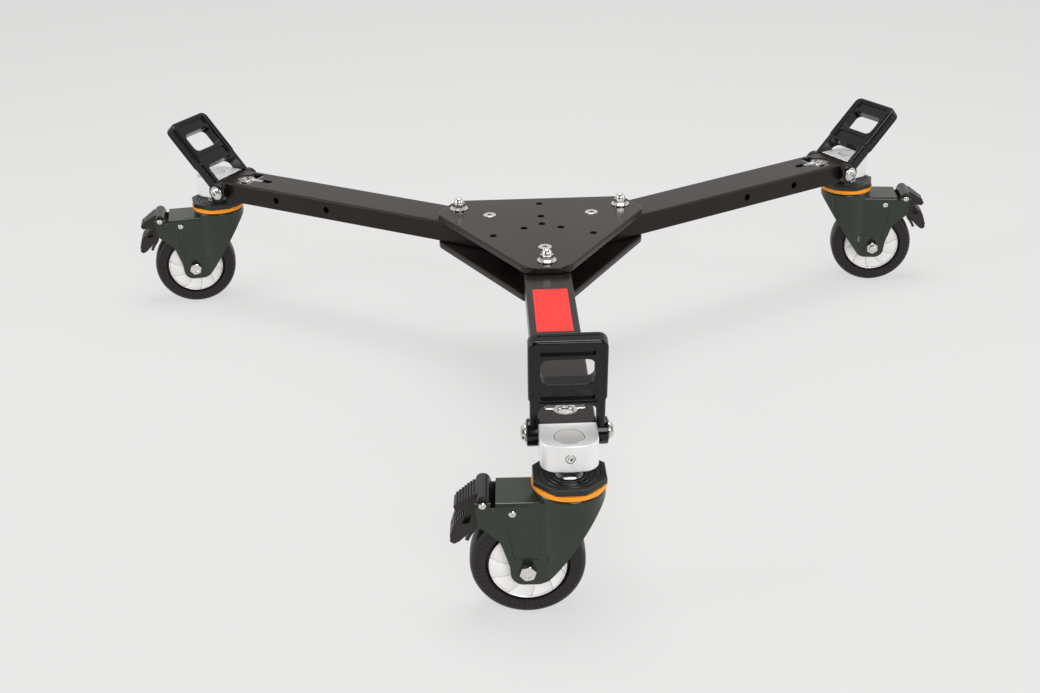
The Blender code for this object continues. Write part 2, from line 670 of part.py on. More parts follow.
def make_swivel_stem(material):
    top = TUBE_TOP - 0.0002
    hex_top = TUBE_BOTTOM - SEAT_GAP
    hex_low = CAP_TOP - CAP_DISH_DEPTH + SEAT_GAP
    flange_top = CROWN_CEILING - SEAT_GAP
    flange_low = flange_top - KINGPIN_FLANGE_T
    profile = [(0, flange_low), (KINGPIN_FLANGE_R, flange_low), (KINGPIN_FLANGE_R, flange_top),
               (KINGPIN_R, flange_top), (KINGPIN_R, hex_top - 0.002), (STEM_R, hex_top - 0.002),
               (STEM_R, top), (0, top)]
    stem = Workpiece(turned(profile, "Z", MEDIUM_FACETS))
    stem.join(prism(polygon(STEM_HEX, 6), hex_low, hex_top - 0.001))
    stem.join(rod(COLLAR_R, hex_low, hex_low + COLLAR_T, "Z", (0, 0), MEDIUM_FACETS))
    return stem.finish("swivel_stem", material)


def make_swivel_cap(material):
    """Eight-sided cover with a ribbed dish."""
    cap = Workpiece(prism(polygon(CAP_ACROSS, 8), CAP_LOW, CAP_TOP, "Z", CAP_EDGE))
    floor = CAP_TOP - CAP_DISH_DEPTH
    hub = STEM_HEX / 2 * 1.25
    profile = [(0, floor), (hub, floor)]
    pitch = (CAP_DISH_R - hub) / (CAP_RIBS + 1)
    for rib in range(CAP_RIBS):
        at = hub + pitch * (rib + 1)
        level = floor + CAP_DISH_DEPTH * 0.22 * (rib + 1)
        profile += [(at - pitch * 0.3, level - CAP_DISH_DEPTH * 0.12), (at, level)]
    profile += [(CAP_DISH_R, CAP_TOP), (CAP_DISH_R, CAP_TOP + 0.001), (0, CAP_TOP + 0.001)]
    cap.cut(turned(profile, "Z", MEDIUM_FACETS))
    cap.cut(rod(KINGPIN_R + HOLE_GAP, CAP_LOW - 0.001, CAP_TOP, "Z", (0, 0), MEDIUM_FACETS))
    return cap.finish("swivel_cap", material)


def make_dust_seal(material):
    lip = SEAL_T * 0.32
    profile = [(SEAL_BORE_R, SEAL_LOW), (SEAL_R - lip, SEAL_LOW), (SEAL_R, SEAL_LOW + lip),
               (SEAL_R, SEAL_TOP - lip), (SEAL_R - lip, SEAL_TOP), (SEAL_BORE_R, SEAL_TOP)]
    return Workpiece(turned(profile, "Z", LARGE_FACETS)).finish("dust_seal", material)


def fork_plan(half_w, radius, rear):
    """Plan outline: a round front about the swivel axis, then flat sides."""
    meet = math.asin(half_w / radius)
    steps = 10
    arc = []
    for step in range(steps + 1):
        angle = meet + (math.tau - 2 * meet) * step / steps
        arc.append((radius * math.cos(angle), radius * math.sin(angle)))
    return arc + [(rear, -half_w), (rear, half_w)]


def fork_side_profile():
    """Side outline of the pressed legs, ears and crown."""
    ear_x, ear_z = BRAKE_AT
    foot = WHEEL_R - FOOT_DROP
    over = CROWN_TOP + 0.002
    front = -CROWN_R - 0.002
    notch = ear_z - 0.004
    corners = [
        (front, over, 0), (front, CROWN_TOP - 0.0052, 0),
        (-CROWN_R + 0.0069, CROWN_TOP - 0.0172, 0.03),
        (TRAIL - FOOT_HALF_W - 0.001, foot, FOOT_CORNER), (TRAIL + FOOT_HALF_W, foot, FOOT_CORNER),
        (TRAIL + FOOT_HALF_W + 0.0018, WHEEL_R + 0.0060, 0.020),
        (TRAIL + 0.0235, ear_z - 0.0373, 0.015), (ear_x + 0.0045, ear_z - 0.0208, 0.008),
        (ear_x + EAR_R, ear_z + EAR_R, EAR_R * 0.92),
        (ear_x - EAR_R + 0.0004, ear_z + EAR_R, EAR_R * 0.85),
        (ear_x - EAR_R + 0.0004, notch, 0.001), (PANEL_END, notch, 0.001), (PANEL_END, over, 0)]
    return rounded(corners, SMALL_FACETS)


def behind_crown():
    """Tool that lowers everything behind the round crown to the rear panel's level."""
    meet = math.asin(FORK_HALF_W / CROWN_R)
    steps = 6
    outline = []
    for step in range(steps + 1):
        angle = meet - 2 * meet * step / steps
        outline.append((CROWN_R * math.cos(angle), CROWN_R * math.sin(angle)))
    side = FORK_HALF_W + 0.002
    rear = PANEL_END + 0.002
    outline += [(outline[-1][0], -side), (rear, -side), (rear, side), (outline[0][0], side)]
    return prism(outline, PANEL_TOP, CROWN_TOP + 0.002)


def make_fork(material):
    """Pressed-steel fork: round crown, flat rear panel, two legs and two rear ears."""
    rear = BRAKE_AT[0] + EAR_R + 0.004
    low = WHEEL_R - FOOT_DROP - 0.010
    fork = Workpiece(prism(fork_plan(FORK_HALF_W, CROWN_R, rear), low, CROWN_TOP, "Z", CROWN_EDGE))
    fork.cut(behind_crown())
    inner = fork_plan(FORK_IN, CROWN_R - FORK_T, rear + 0.004)
    fork.cut(prism(inner, low - 0.002, PANEL_CEILING))
    fork.cut(rod(CROWN_POCKET_R, PANEL_CEILING - 0.002, CROWN_CEILING, "Z", (0, 0), MEDIUM_FACETS))
    between_ears = rectangle(PANEL_END, rear + 0.004, -FORK_IN, FORK_IN)
    fork.cut(prism(rounded(between_ears), PANEL_CEILING - 0.010, CROWN_TOP + 0.002))
    fork.keep(prism(fork_side_profile(), -CROWN_R - 0.005, CROWN_R + 0.005, "Y"))
    reach = FORK_HALF_W + 0.002
    fork.cut(gather(rod(AXLE_R + HOLE_GAP, -reach, reach, "Y", (TRAIL, WHEEL_R), TINY_FACETS),
                    rod(BRAKE_PIN_R + HOLE_GAP, -reach, reach, "Y", BRAKE_AT, TINY_FACETS),
                    rod(KINGPIN_R + HOLE_GAP, CROWN_CEILING - 0.002, CROWN_TOP + 0.002)))
    top = STOP_RIVET_AT[1] - 0.0085
    recess = [(TRAIL + 0.0183, top - 0.0015, 0.003), (TRAIL + 0.0115, WHEEL_R + 0.011, 0.004),
              (TRAIL - 0.0125, WHEEL_R + 0.011, 0.004), (TRAIL - 0.0105, top, 0.003)]
    sink = prism(rounded(recess, 4), FORK_HALF_W - PANEL_RECESS, FORK_HALF_W + 0.001, "Y")
    fork.cut(mirrored(sink, "Y"))
    head = FORK_HALF_W + RIVET_HEAD_H
    rivet = [(0, -head), (RIVET_HEAD_R, -head), (RIVET_HEAD_R, -FORK_HALF_W + 0.001),
             (STOP_RIVET_R, -FORK_HALF_W + 0.001), (STOP_RIVET_R, FORK_HALF_W - 0.001),
             (RIVET_HEAD_R, FORK_HALF_W - 0.001), (RIVET_HEAD_R, head), (0, head)]
    fork.join(turned(rivet, "Y", TINY_FACETS, STOP_RIVET_AT))
    return fork.finish("fork", material, 28.0)


# Wheel and its axle, round the axle axis (Y)

def make_tyre(material):
    inner, outer, half = TYRE_INNER_R, WHEEL_R, TYRE_HALF_W
    side = [(inner, half - 0.0025), (inner + 0.0025, half), (outer - TYRE_SHOULDER, half - 0.0006),
            (outer, half - 0.0065)]
    profile = side + [(r, -y) for r, y in reversed(side)]
    return Workpiece(turned(profile, "Y", LARGE_FACETS)).finish("tyre", material, 40.0)


def make_wheel_core(material):
    """Moulded centre with slanted ribs between hub and rim."""
    bore = AXLE_R + COARSE_HOLE_GAP
    rim = TYRE_INNER_R - SEAT_GAP
    side = [(bore, FORK_IN - RUNNING_GAP), (CORE_HUB_R, FORK_IN - RUNNING_GAP),
            (CORE_HUB_R + 0.001, CORE_WEB_Y), (CORE_FACE_R - 0.0030, CORE_WEB_Y),
            (CORE_FACE_R - 0.0022, CORE_FACE_Y), (rim, CORE_RIM_Y)]
    profile = side + [(r, -y) for r, y in reversed(side)]
    core = Workpiece(turned(profile, "Y", LARGE_FACETS))
    ribs = []
    for k in range(CORE_RIBS):
        ribs.append(core_rib(math.tau * k / CORE_RIBS))
    core.join(mirrored(gather(*ribs), "Y"))
    return core.finish("wheel_core", material)


def core_rib(turn):
    """One thin rib, slanting as it runs out to the rim."""
    near, far = [], []
    for radius, angle in ((CORE_HUB_R - 0.001, turn), (CORE_FACE_R - 0.0016, turn + 0.16)):
        half = CORE_RIB_T / 2 / radius
        near.append((radius * math.cos(angle - half), radius * math.sin(angle - half)))
        far.append((radius * math.cos(angle + half), radius * math.sin(angle + half)))
    return prism(near + far[::-1], CORE_WEB_Y - 0.001, CORE_FACE_Y - 0.0003, "Y")


def make_axle_bolt(material):
    seat = FORK_HALF_W + SEAT_GAP
    end = FORK_HALF_W + 2 * SEAT_GAP + AXLE_NUT_H + AXLE_END
    shank = [(0, -end), (AXLE_R - 0.0006, -end), (AXLE_R, -end + 0.0006), (AXLE_R, seat + 0.002),
             (0, seat + 0.002)]
    bolt = Workpiece(turned(shank, "Y", TINY_FACETS))
    bolt.join(prism(polygon(AXLE_HEX, 6, 0.3), seat, seat + AXLE_HEAD_H, "Y", 0.0007))
    return bolt.finish("axle_bolt", material)


def make_axle_nut(material):
    seat = FORK_HALF_W + SEAT_GAP
    nut = Workpiece(prism(polygon(AXLE_HEX, 6, 0.1), -seat - AXLE_NUT_H, -seat, "Y"))
    nut.cut(rod(AXLE_R + HOLE_GAP, -seat - AXLE_NUT_H - 0.001, -seat + 0.001, "Y", (0, 0), TINY_FACETS))
    return nut.finish("axle_nut", material)


# Brake, round the pedal's pivot (Y)

def ribbed(start, end, ribs, height):
    """Points from start to end with square ribs standing to the left of the way."""
    start, end = Vector(start), Vector(end)
    along = end - start
    out = Vector((-along.y, along.x)).normalized() * height
    points = []
    for k in range(ribs):
        rise, fall = (k + 0.25) / ribs, (k + 0.75) / ribs
        points += [start + along * rise, start + along * rise + out,
                   start + along * fall + out, start + along * fall]
    return [(p.x, p.y) for p in points]


def make_brake_pedal(material):
    """Nylon pedal: barrel, ribbed upper tread, ribbed lower paddle and the shoe finger."""
    px, pz = BRAKE_AT
    barrel_half = FORK_IN - RUNNING_GAP
    outline = [(0.002, 0.0060), (0.008, 0.0048)]
    outline += ribbed((0.008, 0.0048), (0.0245, -0.0030), TREAD_RIBS, TREAD_RIB_H)
    outline += [(0.0258, -0.0052), (0.0252, -0.0140), (0.0275, -0.0180), (0.0312, -0.0265)]
    outline += ribbed((0.0312, -0.0265), (0.0318, -0.0430), PADDLE_RIBS, TREAD_RIB_H)
    outline += [(0.0265, -0.0485), (0.0225, -0.0475), (0.0170, -0.0400), (0.0105, -0.0345),
                (0.0045, -0.0275), (-0.0010, -0.0190), (-0.002, -0.0060)]
    pedal = Workpiece(prism(outline, -PEDAL_HALF_W, PEDAL_HALF_W, "Y"))
    gap = [(0.0105, -0.0068, 0.002), (0.0212, -0.0095, 0.001), (0.0238, -0.0185, 0.001),
           (0.0255, -0.0280, 0.002), (0.0105, -0.0170, 0.002)]
    pedal.cut(prism(rounded(gap), -PEDAL_HALF_W - 0.001, PEDAL_HALF_W + 0.001, "Y"))
    pedal.join(rod(BARREL_R, -barrel_half, barrel_half, "Y"))
    low, high = (math.radians(a) for a in SHOE_ARC)
    shoe_r = WHEEL_R + SHOE_CLEAR
    centre = Vector((TRAIL - px, WHEEL_R - pz))
    face, back = [], []
    for step in range(4):
        angle = low + (high - low) * step / 3
        direction = Vector((math.cos(angle), math.sin(angle)))
        face.append(tuple(centre + direction * shoe_r))
        back.append(tuple(centre + direction * (shoe_r + SHOE_T)))
    finger = face + [(-0.0035, -0.004), (0.0045, -0.004)] + [back[2], back[1], back[0]]
    pedal.join(prism(finger, -SHOE_HALF_W, SHOE_HALF_W, "Y"))
    end = barrel_half + 0.001
    pedal.cut(rod(BRAKE_PIN_R + HOLE_GAP, -end, end, "Y", (0, 0), TINY_FACETS))
    return pedal.finish("brake_pedal", material)


def make_brake_pin(material):
    face = FORK_HALF_W + SEAT_GAP
    side = [(BRAKE_PIN_R, face), (RIVET_HEAD_R, face), (RIVET_HEAD_R * 0.7, face + RIVET_HEAD_H),
            (0, face + RIVET_HEAD_H)]
    profile = [(r, -y) for r, y in reversed(side)] + side
    return Workpiece(turned(profile, "Y", TINY_FACETS)).finish("brake_pin", material)


def make_materials():
    colours = {
        "plate_black": ((0.050, 0.046, 0.043), 0.38, 0.6),
        "arm_black": ((0.045, 0.041, 0.039), 0.42, 0.6),
        "block_alloy": ((0.78, 0.77, 0.76), 0.28, 1.0),
        "zinc": ((0.70, 0.69, 0.67), 0.25, 1.0),
        "lever_black": ((0.012, 0.012, 0.012), 0.25, 0.0),
        "cap_black": ((0.025, 0.030, 0.026), 0.45, 0.0),
        "seal_orange": ((0.90, 0.30, 0.02), 0.5, 0.0),
        "fork_green": ((0.040, 0.052, 0.040), 0.38, 0.3),
        "tyre_rubber": ((0.022, 0.019, 0.018), 0.65, 0.0),
        "hub_silver": ((0.80, 0.78, 0.76), 0.35, 0.0),
        "pedal_nylon": ((0.020, 0.018, 0.018), 0.5, 0.0),
    }
    return {name: make_material(name, *values) for name, values in colours.items()}


def make_meshes(paint):
    """Every different piece once."""
    return {
        "arm_bolt": make_arm_bolt(paint["zinc"]),
        "dome_nut": make_dome_nut(paint["zinc"]),
        "plate_screw": make_plate_screw(paint["zinc"]),
        "arm_tube": make_arm_tube(paint["arm_black"]),
        "caster_block": make_caster_block(paint["block_alloy"]),
        "set_screw": make_set_screw(paint["zinc"]),
        "foot_seat": make_foot_seat(paint["block_alloy"]),
        "foot_lever": make_foot_lever(paint["lever_black"]),
        "lever_bolt": make_lever_bolt(paint["zinc"]),
        "swivel_stem": make_swivel_stem(paint["zinc"]),
        "swivel_cap": make_swivel_cap(paint["cap_black"]),
        "dust_seal": make_dust_seal(paint["seal_orange"]),
        "fork": make_fork(paint["fork_green"]),
        "tyre": make_tyre(paint["tyre_rubber"]),
        "wheel_core": make_wheel_core(paint["hub_silver"]),
        "axle_bolt": make_axle_bolt(paint["zinc"]),
        "axle_nut": make_axle_nut(paint["zinc"]),
        "brake_pedal": make_brake_pedal(paint["pedal_nylon"]),
        "brake_pin": make_brake_pin(paint["zinc"]),
    }


def build_leg(leg, meshes, root):
    """One arm with its clamp and caster."""
    heading = math.radians(ARM_HEADING[leg])
    arm = joint_empty(f"{leg}_arm_frame", root, (0, 0, 0), (0, 0, heading))

    def put(piece, parent, location=(0, 0, 0), rotation=(0, 0, 0)):
        place(f"{leg}_{piece}", meshes[piece], parent, location, rotation)

    put("arm_bolt", arm, (STUD_AT, 0, 0))
    put("dome_nut", arm, (STUD_AT, 0, 0))
    put("plate_screw", arm, (SCREW_AT, 0, 0))
    for piece in ("arm_tube", "caster_block", "set_screw", "foot_seat"):
        put(piece, arm)
    put("lever_bolt", arm, (HINGE_AT, 0, HINGE_Z))
    put("swivel_stem", arm, (STEM_AT, 0, 0))
    put("swivel_cap", arm, (STEM_AT, 0, 0))
    clamp = joint_empty(f"{leg}_clamp_axis", arm, (HINGE_AT, 0, HINGE_Z),
                        (0, math.radians(LEVER_LEAN[leg]), 0))
    put("foot_lever", clamp)

    swivel = joint_empty(f"{leg}_swivel_axis", arm, (STEM_AT, 0, 0),
                         (0, 0, math.radians(CASTER_HEADING[leg]) - heading))
    for piece in ("dust_seal", "fork"):
        put(piece, swivel)
    put("axle_bolt", swivel, (TRAIL, 0, WHEEL_R))
    put("axle_nut", swivel, (TRAIL, 0, WHEEL_R))
    put("brake_pin", swivel, (BRAKE_AT[0], 0, BRAKE_AT[1]))
    wheel = joint_empty(f"{leg}_wheel_axis", swivel, (TRAIL, 0, WHEEL_R))
    put("wheel_core", wheel)
    put("tyre", wheel)
    brake = joint_empty(f"{leg}_brake_axis", swivel, (BRAKE_AT[0], 0, BRAKE_AT[1]))
    put("brake_pedal", brake)


def centre_on_floor(root):
    """Move the whole dolly so that the middle of its box stands over the origin."""
    bpy.context.view_layer.update()
    corners = [item.matrix_world @ vert.co for item in bpy.data.objects if item.type == "MESH"
               for vert in item.data.vertices]
    for index in range(2):
        values = [corner[index] for corner in corners]
        root.location[index] = -(min(values) + max(values)) / 2
    bpy.context.view_layer.update()


def main():
    clear_scene()
    paint = make_materials()
    root = joint_empty("dolly_frame", None, (0, 0, 0))
    place("top_plate", make_top_plate(paint["plate_black"]), root)
    place("bottom_plate", make_bottom_plate(paint["plate_black"]), root)
    meshes = make_meshes(paint)
    for leg in LEG_NAMES:
        build_leg(leg, meshes, root)
    centre_on_floor(root)


main()
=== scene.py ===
"""Studio scene of the camera floor dolly.

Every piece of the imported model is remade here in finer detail, in its own frame, and put where
the model's joints say.  An arm's frame has X outward along the arm, Y across it and Z up from
the floor; a clamp's has the hinge axis at its origin; a caster's has X from the swivel axis
towards the trailing axle.  Metres.
"""
import json
import math

import bmesh
import bpy
from mathutils import Matrix, Vector


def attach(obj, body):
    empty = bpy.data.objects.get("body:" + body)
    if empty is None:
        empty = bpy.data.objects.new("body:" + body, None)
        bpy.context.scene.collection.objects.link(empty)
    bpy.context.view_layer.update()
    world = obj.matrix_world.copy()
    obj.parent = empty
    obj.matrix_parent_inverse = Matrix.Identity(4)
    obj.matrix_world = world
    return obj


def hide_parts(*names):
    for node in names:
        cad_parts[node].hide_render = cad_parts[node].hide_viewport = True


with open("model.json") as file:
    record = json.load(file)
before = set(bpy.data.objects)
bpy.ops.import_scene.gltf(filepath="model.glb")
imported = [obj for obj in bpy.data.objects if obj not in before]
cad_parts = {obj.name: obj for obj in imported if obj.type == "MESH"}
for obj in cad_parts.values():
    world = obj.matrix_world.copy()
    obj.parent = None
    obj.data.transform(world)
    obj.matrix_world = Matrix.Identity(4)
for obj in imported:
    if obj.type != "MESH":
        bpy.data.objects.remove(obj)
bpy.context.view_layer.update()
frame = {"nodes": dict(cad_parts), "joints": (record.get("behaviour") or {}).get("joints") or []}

LEGS = ("front", "left", "right")
JOINTS = {joint["name"]: joint for joint in frame["joints"]}
NODES = frame["nodes"]


# Where things are

def joint_place(name):
    return Vector(JOINTS[name]["pos_m"])


def dolly_centre():
    """Middle of the three swivel axes, on the floor."""
    middle = sum((joint_place(f"{leg}_swivel") for leg in LEGS), Vector()) / 3
    return Vector((middle.x, middle.y, 0.0))


CENTRE = dolly_centre()


def standing(origin, towards):
    """Frame on the floor under origin, X pointing level the same way as towards."""
    heading = math.atan2(towards.y, towards.x)
    return Matrix.Translation((origin.x, origin.y, 0.0)) @ Matrix.Rotation(heading, 4, "Z")


def arm_frame(leg):
    return standing(CENTRE, joint_place(f"{leg}_swivel") - CENTRE)


def caster_frame(leg):
    swivel = joint_place(f"{leg}_swivel")
    return standing(swivel, joint_place(f"{leg}_wheel_spin") - swivel)


# Sizes in metres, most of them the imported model's; heights are from the floor

GAP = 0.0003
PLATE_T = 0.008
PLATE_APOTHEM = 0.0837
PLATE_TIP = 0.1275
PLATE_CORNER = 0.019
PLATE_HOLE_R = 0.0039
PLATE_RIM = 0.0020
TIP_HEADINGS = (-90, 30, 150)
HOLE_RINGS = (0.024, 0.0645)
STUD_AT = 0.1088
STUD_R = 0.004
STUD_HEX = 0.013
STUD_END = 0.0095           # above the top plate
NUT_WASHER_R = 0.0105
NUT_WASHER_T = 0.0015
NUT_HEX_H = 0.0060
NUT_DOME_H = 0.0066
CONE_START = 0.97           # of half a hexagon's width across flats
CONE_SLOPE = 0.58           # about 30 degrees
CONE_SPARE = 0.0003
SCREW_AT = 0.0679
SCREW_HEAD_R = 0.0075
TUBE_W = 0.050
TUBE_WALL = 0.0025
TUBE_INNER_END = 0.042
TUBE_OUTER_END = 0.447
SIDE_HOLE_R = 0.004
SIDE_HOLE_AT = (0.282, 0.357)
STEM_AT = 0.471
STEM_R = 0.0127
BLOCK_NOSE = 0.0175
SEAT_ENDS = (0.394, 0.4325)
SLOT_ENDS = (0.404, 0.422)
SLOT_HALF_W = 0.0185
KEYWAY_FROM = 0.381
KEYWAY_HALF_W = 0.0042
CUP_AT = 0.421
CUP_R = 0.0108
TROUGH_R = 0.0078
HINGE_AT = 0.441
LEVER_LENGTH = 0.1018
LEVER_T = 0.0148
LEVER_LEG_IN = 0.0254
LEVER_LEG_OUT = 0.0323
LEVER_HALF_W = 0.0336
LEVER_HUB_R = 0.0122
LEVER_HUB_OUT = 0.0354
ARCH_TOP = 0.035
WINDOW = (0.0565, 0.0825)
WINDOW_HALF_W = 0.0230
TOP_POCKET = (0.0865, 0.0955)
LOW_POCKET = (0.0395, 0.0510)
STEM_HEX = 0.019
KINGPIN_R = 0.006
KINGPIN_FLANGE_R = 0.010
KINGPIN_HOLE_R = 0.0063
WHEEL_R = 0.051
CAP_TOP = 0.1365
CAP_LOW = 0.1308
SEAL_TOP = 0.1305
SEAL_LOW = 0.1255
CROWN_TOP = 0.1252
CROWN_R = 0.0315
PANEL_TOP = 0.1190
PANEL_END = 0.0635
FORK_T = 0.0025
FORK_IN = 0.0205
FORK_HALF_W = 0.0230
TRAIL = 0.037
EAR_R = 0.0072
BRAKE_AT = (0.0745, 0.1182)
BRAKE_PIN_R = 0.0025
BRAKE_HOLE_R = 0.0028
BARREL_R = 0.0065
PEDAL_HALF_W = 0.0125
SHOE_HALF_W = 0.011
SHOE_ARC = (25, 30, 35, 40)   # degrees above the axle's level
SHOE_FACE = 0.0054          # beyond the tyre's tread
SHOE_BACK = 0.0085
STOP_RIVET_AT = (0.0493, 0.1094)
RIVET_HEAD_R = 0.0032
TYRE_HALF_W = 0.016
TYRE_INNER_R = 0.0358
AXLE_R = 0.004
AXLE_HEX = 0.013
AXLE_HEAD_H = 0.0055
AXLE_NUT_H = 0.0062
AXLE_END = 0.0016
HUB_R = 0.0105
PETAL_END_R = 0.0345
TYRE_RAYS = 56
PETALS = 10
PETAL_BOW = -0.27
RAY_CREST = 0.86            # of the wave, above which a ray shows
RAY_FADE = (0.0478, 0.0490)
GAP_RING = (0.0339, 0.0341)
TUBE_BOTTOM = 0.1455
TUBE_TOP = 0.1705
TUBE_MID = 0.158
HINGE_Z = 0.1588
PLATE_LOW = TUBE_TOP + GAP
PLATE_TOP = PLATE_LOW + PLATE_T
BASE_TOP = TUBE_BOTTOM - GAP
BASE_LOW = BASE_TOP - PLATE_T
LABEL_ENDS = (0.165, 0.266)
LABEL_HALF_W = 0.018
LABEL_T = 0.00015
SLIVER = 0.00002
SHARP_OVER = 32             # degrees


# Camera, light and stage

def add_object(name, data):
    item = bpy.data.objects.new(name, data)
    bpy.context.scene.collection.objects.link(item)
    return item


def mesh_of(bm, name):
    mesh = bpy.data.meshes.new(name)
    bm.to_mesh(mesh)
    bm.free()
    return mesh


PHOTO_W = 1040
CAMERA_TARGET = Vector((-0.0354, -0.2965, 0.1705))
CAMERA_DISTANCE = 1.3614
CAMERA_TILT = math.radians(26.25)
CAMERA_TURN = math.radians(-1.45)
CAMERA_ROLL = math.radians(-1.22)
CAMERA_FOCAL_PIXELS = 1431.1


def make_camera():
    turn, tilt, roll = CAMERA_TURN, CAMERA_TILT, CAMERA_ROLL
    back = Vector((math.sin(turn) * math.cos(tilt), -math.cos(turn) * math.cos(tilt), math.sin(tilt)))
    right = Vector((math.cos(turn), math.sin(turn), 0.0))
    up = back.cross(right)
    across = right * math.cos(roll) + up * math.sin(roll)
    rise = up * math.cos(roll) - right * math.sin(roll)
    data = bpy.data.cameras.new("photo_camera")
    data.sensor_fit = "HORIZONTAL"
    data.sensor_width = 36.0
    data.lens = CAMERA_FOCAL_PIXELS / PHOTO_W * data.sensor_width
    data.clip_start = 0.01
    camera = add_object("photo_camera", data)
    turned_axes = Matrix((across, rise, back)).transposed().to_4x4()
    place = CENTRE + CAMERA_TARGET + back * CAMERA_DISTANCE
    camera.matrix_world = Matrix.Translation(place) @ turned_axes
    bpy.context.scene.camera = camera


def make_lamp(name, place, aim, size, power, tall=None):
    data = bpy.data.lights.new(name, "AREA")
    data.shape = "RECTANGLE"
    data.size = size
    data.size_y = tall or size
    data.energy = power
    lamp = add_object(name, data)
    lamp.location = place
    lamp.rotation_euler = (Vector(aim) - Vector(place)).to_track_quat("-Z", "Y").to_euler()


BACKDROP = (0.785, 0.778, 0.772)
FILL_LIGHT = 0.36
DIM_ROOM = 0.10
PAPER_HALF = 7.0
PAPER_AHEAD = 1.35
PAPER_EVEN = 0.78


def shown_rays(nodes):
    """1 for the rays that show the surroundings: camera, glossy and transmission rays."""
    path = nodes.add("LightPath").outputs
    seen = nodes.calc("MAXIMUM", path["Is Camera Ray"], path["Is Glossy Ray"])
    return nodes.calc("MAXIMUM", seen, path["Is Transmission Ray"])


def make_studio():
    make_lamp("overhead_softbox", (0.0, 0.35, 2.4), (0.0, 0.0, 0.0), 1.5, 42.0, 1.2)
    make_lamp("front_softbox", (0.7, -2.6, 1.5), (0.0, -0.1, 0.1), 1.3, 36.0)
    make_lamp("left_softbox", (-2.2, -0.6, 1.1), (0.0, -0.1, 0.1), 0.8, 17.0, 1.5)
    make_lamp("right_softbox", (2.3, -0.3, 1.1), (0.0, -0.1, 0.1), 0.6, 10.0, 1.5)
    world = bpy.data.worlds.new("studio")
    bpy.context.scene.world = world
    world.use_nodes = True
    world.node_tree.nodes.clear()
    nodes = NodeBench(world.node_tree)
    # Mirror-like faces see a dim room above and behind the camera.
    towards = nodes.add("TexCoord").outputs["Generated"]
    behind = nodes.add("VectorMath", {0: towards, 1: (0.0, -0.7071, 0.7071)}, operation="DOT_PRODUCT")
    dim = nodes.ramp(behind.outputs["Value"], 0.30, 0.72, 1.0, DIM_ROOM)
    dim = nodes.calc("MAXIMUM", dim, nodes.add("LightPath").outputs["Is Camera Ray"])
    fill = nodes.add("Background", {"Color": (1.0, 0.99, 0.98, 1.0), "Strength": FILL_LIGHT})
    shown = nodes.add("Background", {"Color": (*BACKDROP, 1.0), "Strength": dim})
    both = nodes.add("MixShader", {0: shown_rays(nodes), 1: fill.outputs[0], 2: shown.outputs[0]})
    nodes.add("OutputWorld", {"Surface": both.outputs[0]})
    floor = bmesh.new()
    bmesh.ops.create_grid(floor, x_segments=8, y_segments=8, size=PAPER_HALF)
    mesh = mesh_of(floor, "studio_floor")
    mesh.transform(Matrix.Translation((CENTRE.x, CENTRE.y + PAPER_HALF - PAPER_AHEAD, 0.0)))
    mesh.materials.append(floor_paper())
    add_object("studio_floor", mesh)


# Materials

class NodeBench:
    """Adds nodes to one tree; an input is given another node's output or a plain value."""

    def __init__(self, tree):
        self.tree = tree

    def connect(self, node, links):
        for socket, source in links.items():
            if isinstance(source, bpy.types.NodeSocket):
                self.tree.links.new(source, node.inputs[socket])
            else:
                node.inputs[socket].default_value = source

    def add(self, kind, links=None, **settings):
        node = self.tree.nodes.new("ShaderNode" + kind)
        for name, value in settings.items():
            setattr(node, name, value)
        self.connect(node, links or {})
        return node

    def effect(self, name, **links):
        return self.add("Group", links, node_tree=EFFECTS[name]).outputs

    def calc(self, operation, *values):
        return self.add("Math", dict(enumerate(values)), operation=operation).outputs[0]

    def ramp(self, value, low, high, start=0.0, end=1.0):
        """Runs from start to end while value goes from low to high, and stays there beyond."""
        return self.add("MapRange", {"Value": value, "From Min": low, "From Max": high, "To Min": start,
                                     "To Max": end}).outputs["Result"]

    def mix(self, factor, first, second):
        return self.add("MixRGB", {"Fac": factor, "Color1": first, "Color2": second}).outputs["Color"]

    def noise(self, place, scale, detail, roughness):
        return self.add("TexNoise", {"Vector": place, "Scale": scale, "Detail": detail,
                                     "Roughness": roughness}).outputs["Fac"]

    def relief(self, strength, depth, height):
        return self.add("Bump", {"Strength": strength, "Distance": depth,
                                 "Height": height}).outputs["Normal"]


def make_effect(name, inputs, outputs):
    """An empty node group with named sockets; returns its bench, its inputs and its output node."""
    group = bpy.data.node_groups.new(name, "ShaderNodeTree")
    for label, kind, value in inputs:
        socket = group.interface.new_socket(name=label, in_out="INPUT", socket_type="NodeSocket" + kind)
        if value is not None:
            socket.default_value = value
    for label in outputs:
        group.interface.new_socket(name=label, in_out="OUTPUT", socket_type="NodeSocketFloat")
    source = group.nodes.new("NodeGroupInput")
    return NodeBench(group), source.outputs, group.nodes.new("NodeGroupOutput")


def coat_grain_effect():
    """Fine orange-peel height and a slow, cloudy unevenness."""
    bench, given, target = make_effect(
        "coat_grain", [("Place", "Vector", None), ("Grain", "Float", 2500.0), ("Cloud", "Float", 14.0)],
        ["Height", "Unevenness"])
    bench.connect(target, {"Height": bench.noise(given["Place"], given["Grain"], 2.0, 0.45),
                           "Unevenness": bench.noise(given["Place"], given["Cloud"], 4.0, 0.6)})
    return bench.tree


def drawn_lines_effect():
    """Fine lines along X, as drawn or brushed metal has."""
    bench, given, target = make_effect(
        "drawn_lines", [("Place", "Vector", None), ("Fineness", "Float", 900.0)], ["Lines"])
    stretch = bench.add("VectorMath", {0: given["Place"], 1: (0.02, 1.0, 1.0)}, operation="MULTIPLY")
    bench.connect(target, {"Lines": bench.noise(stretch.outputs[0], given["Fineness"], 3.0, 0.6)})
    return bench.tree


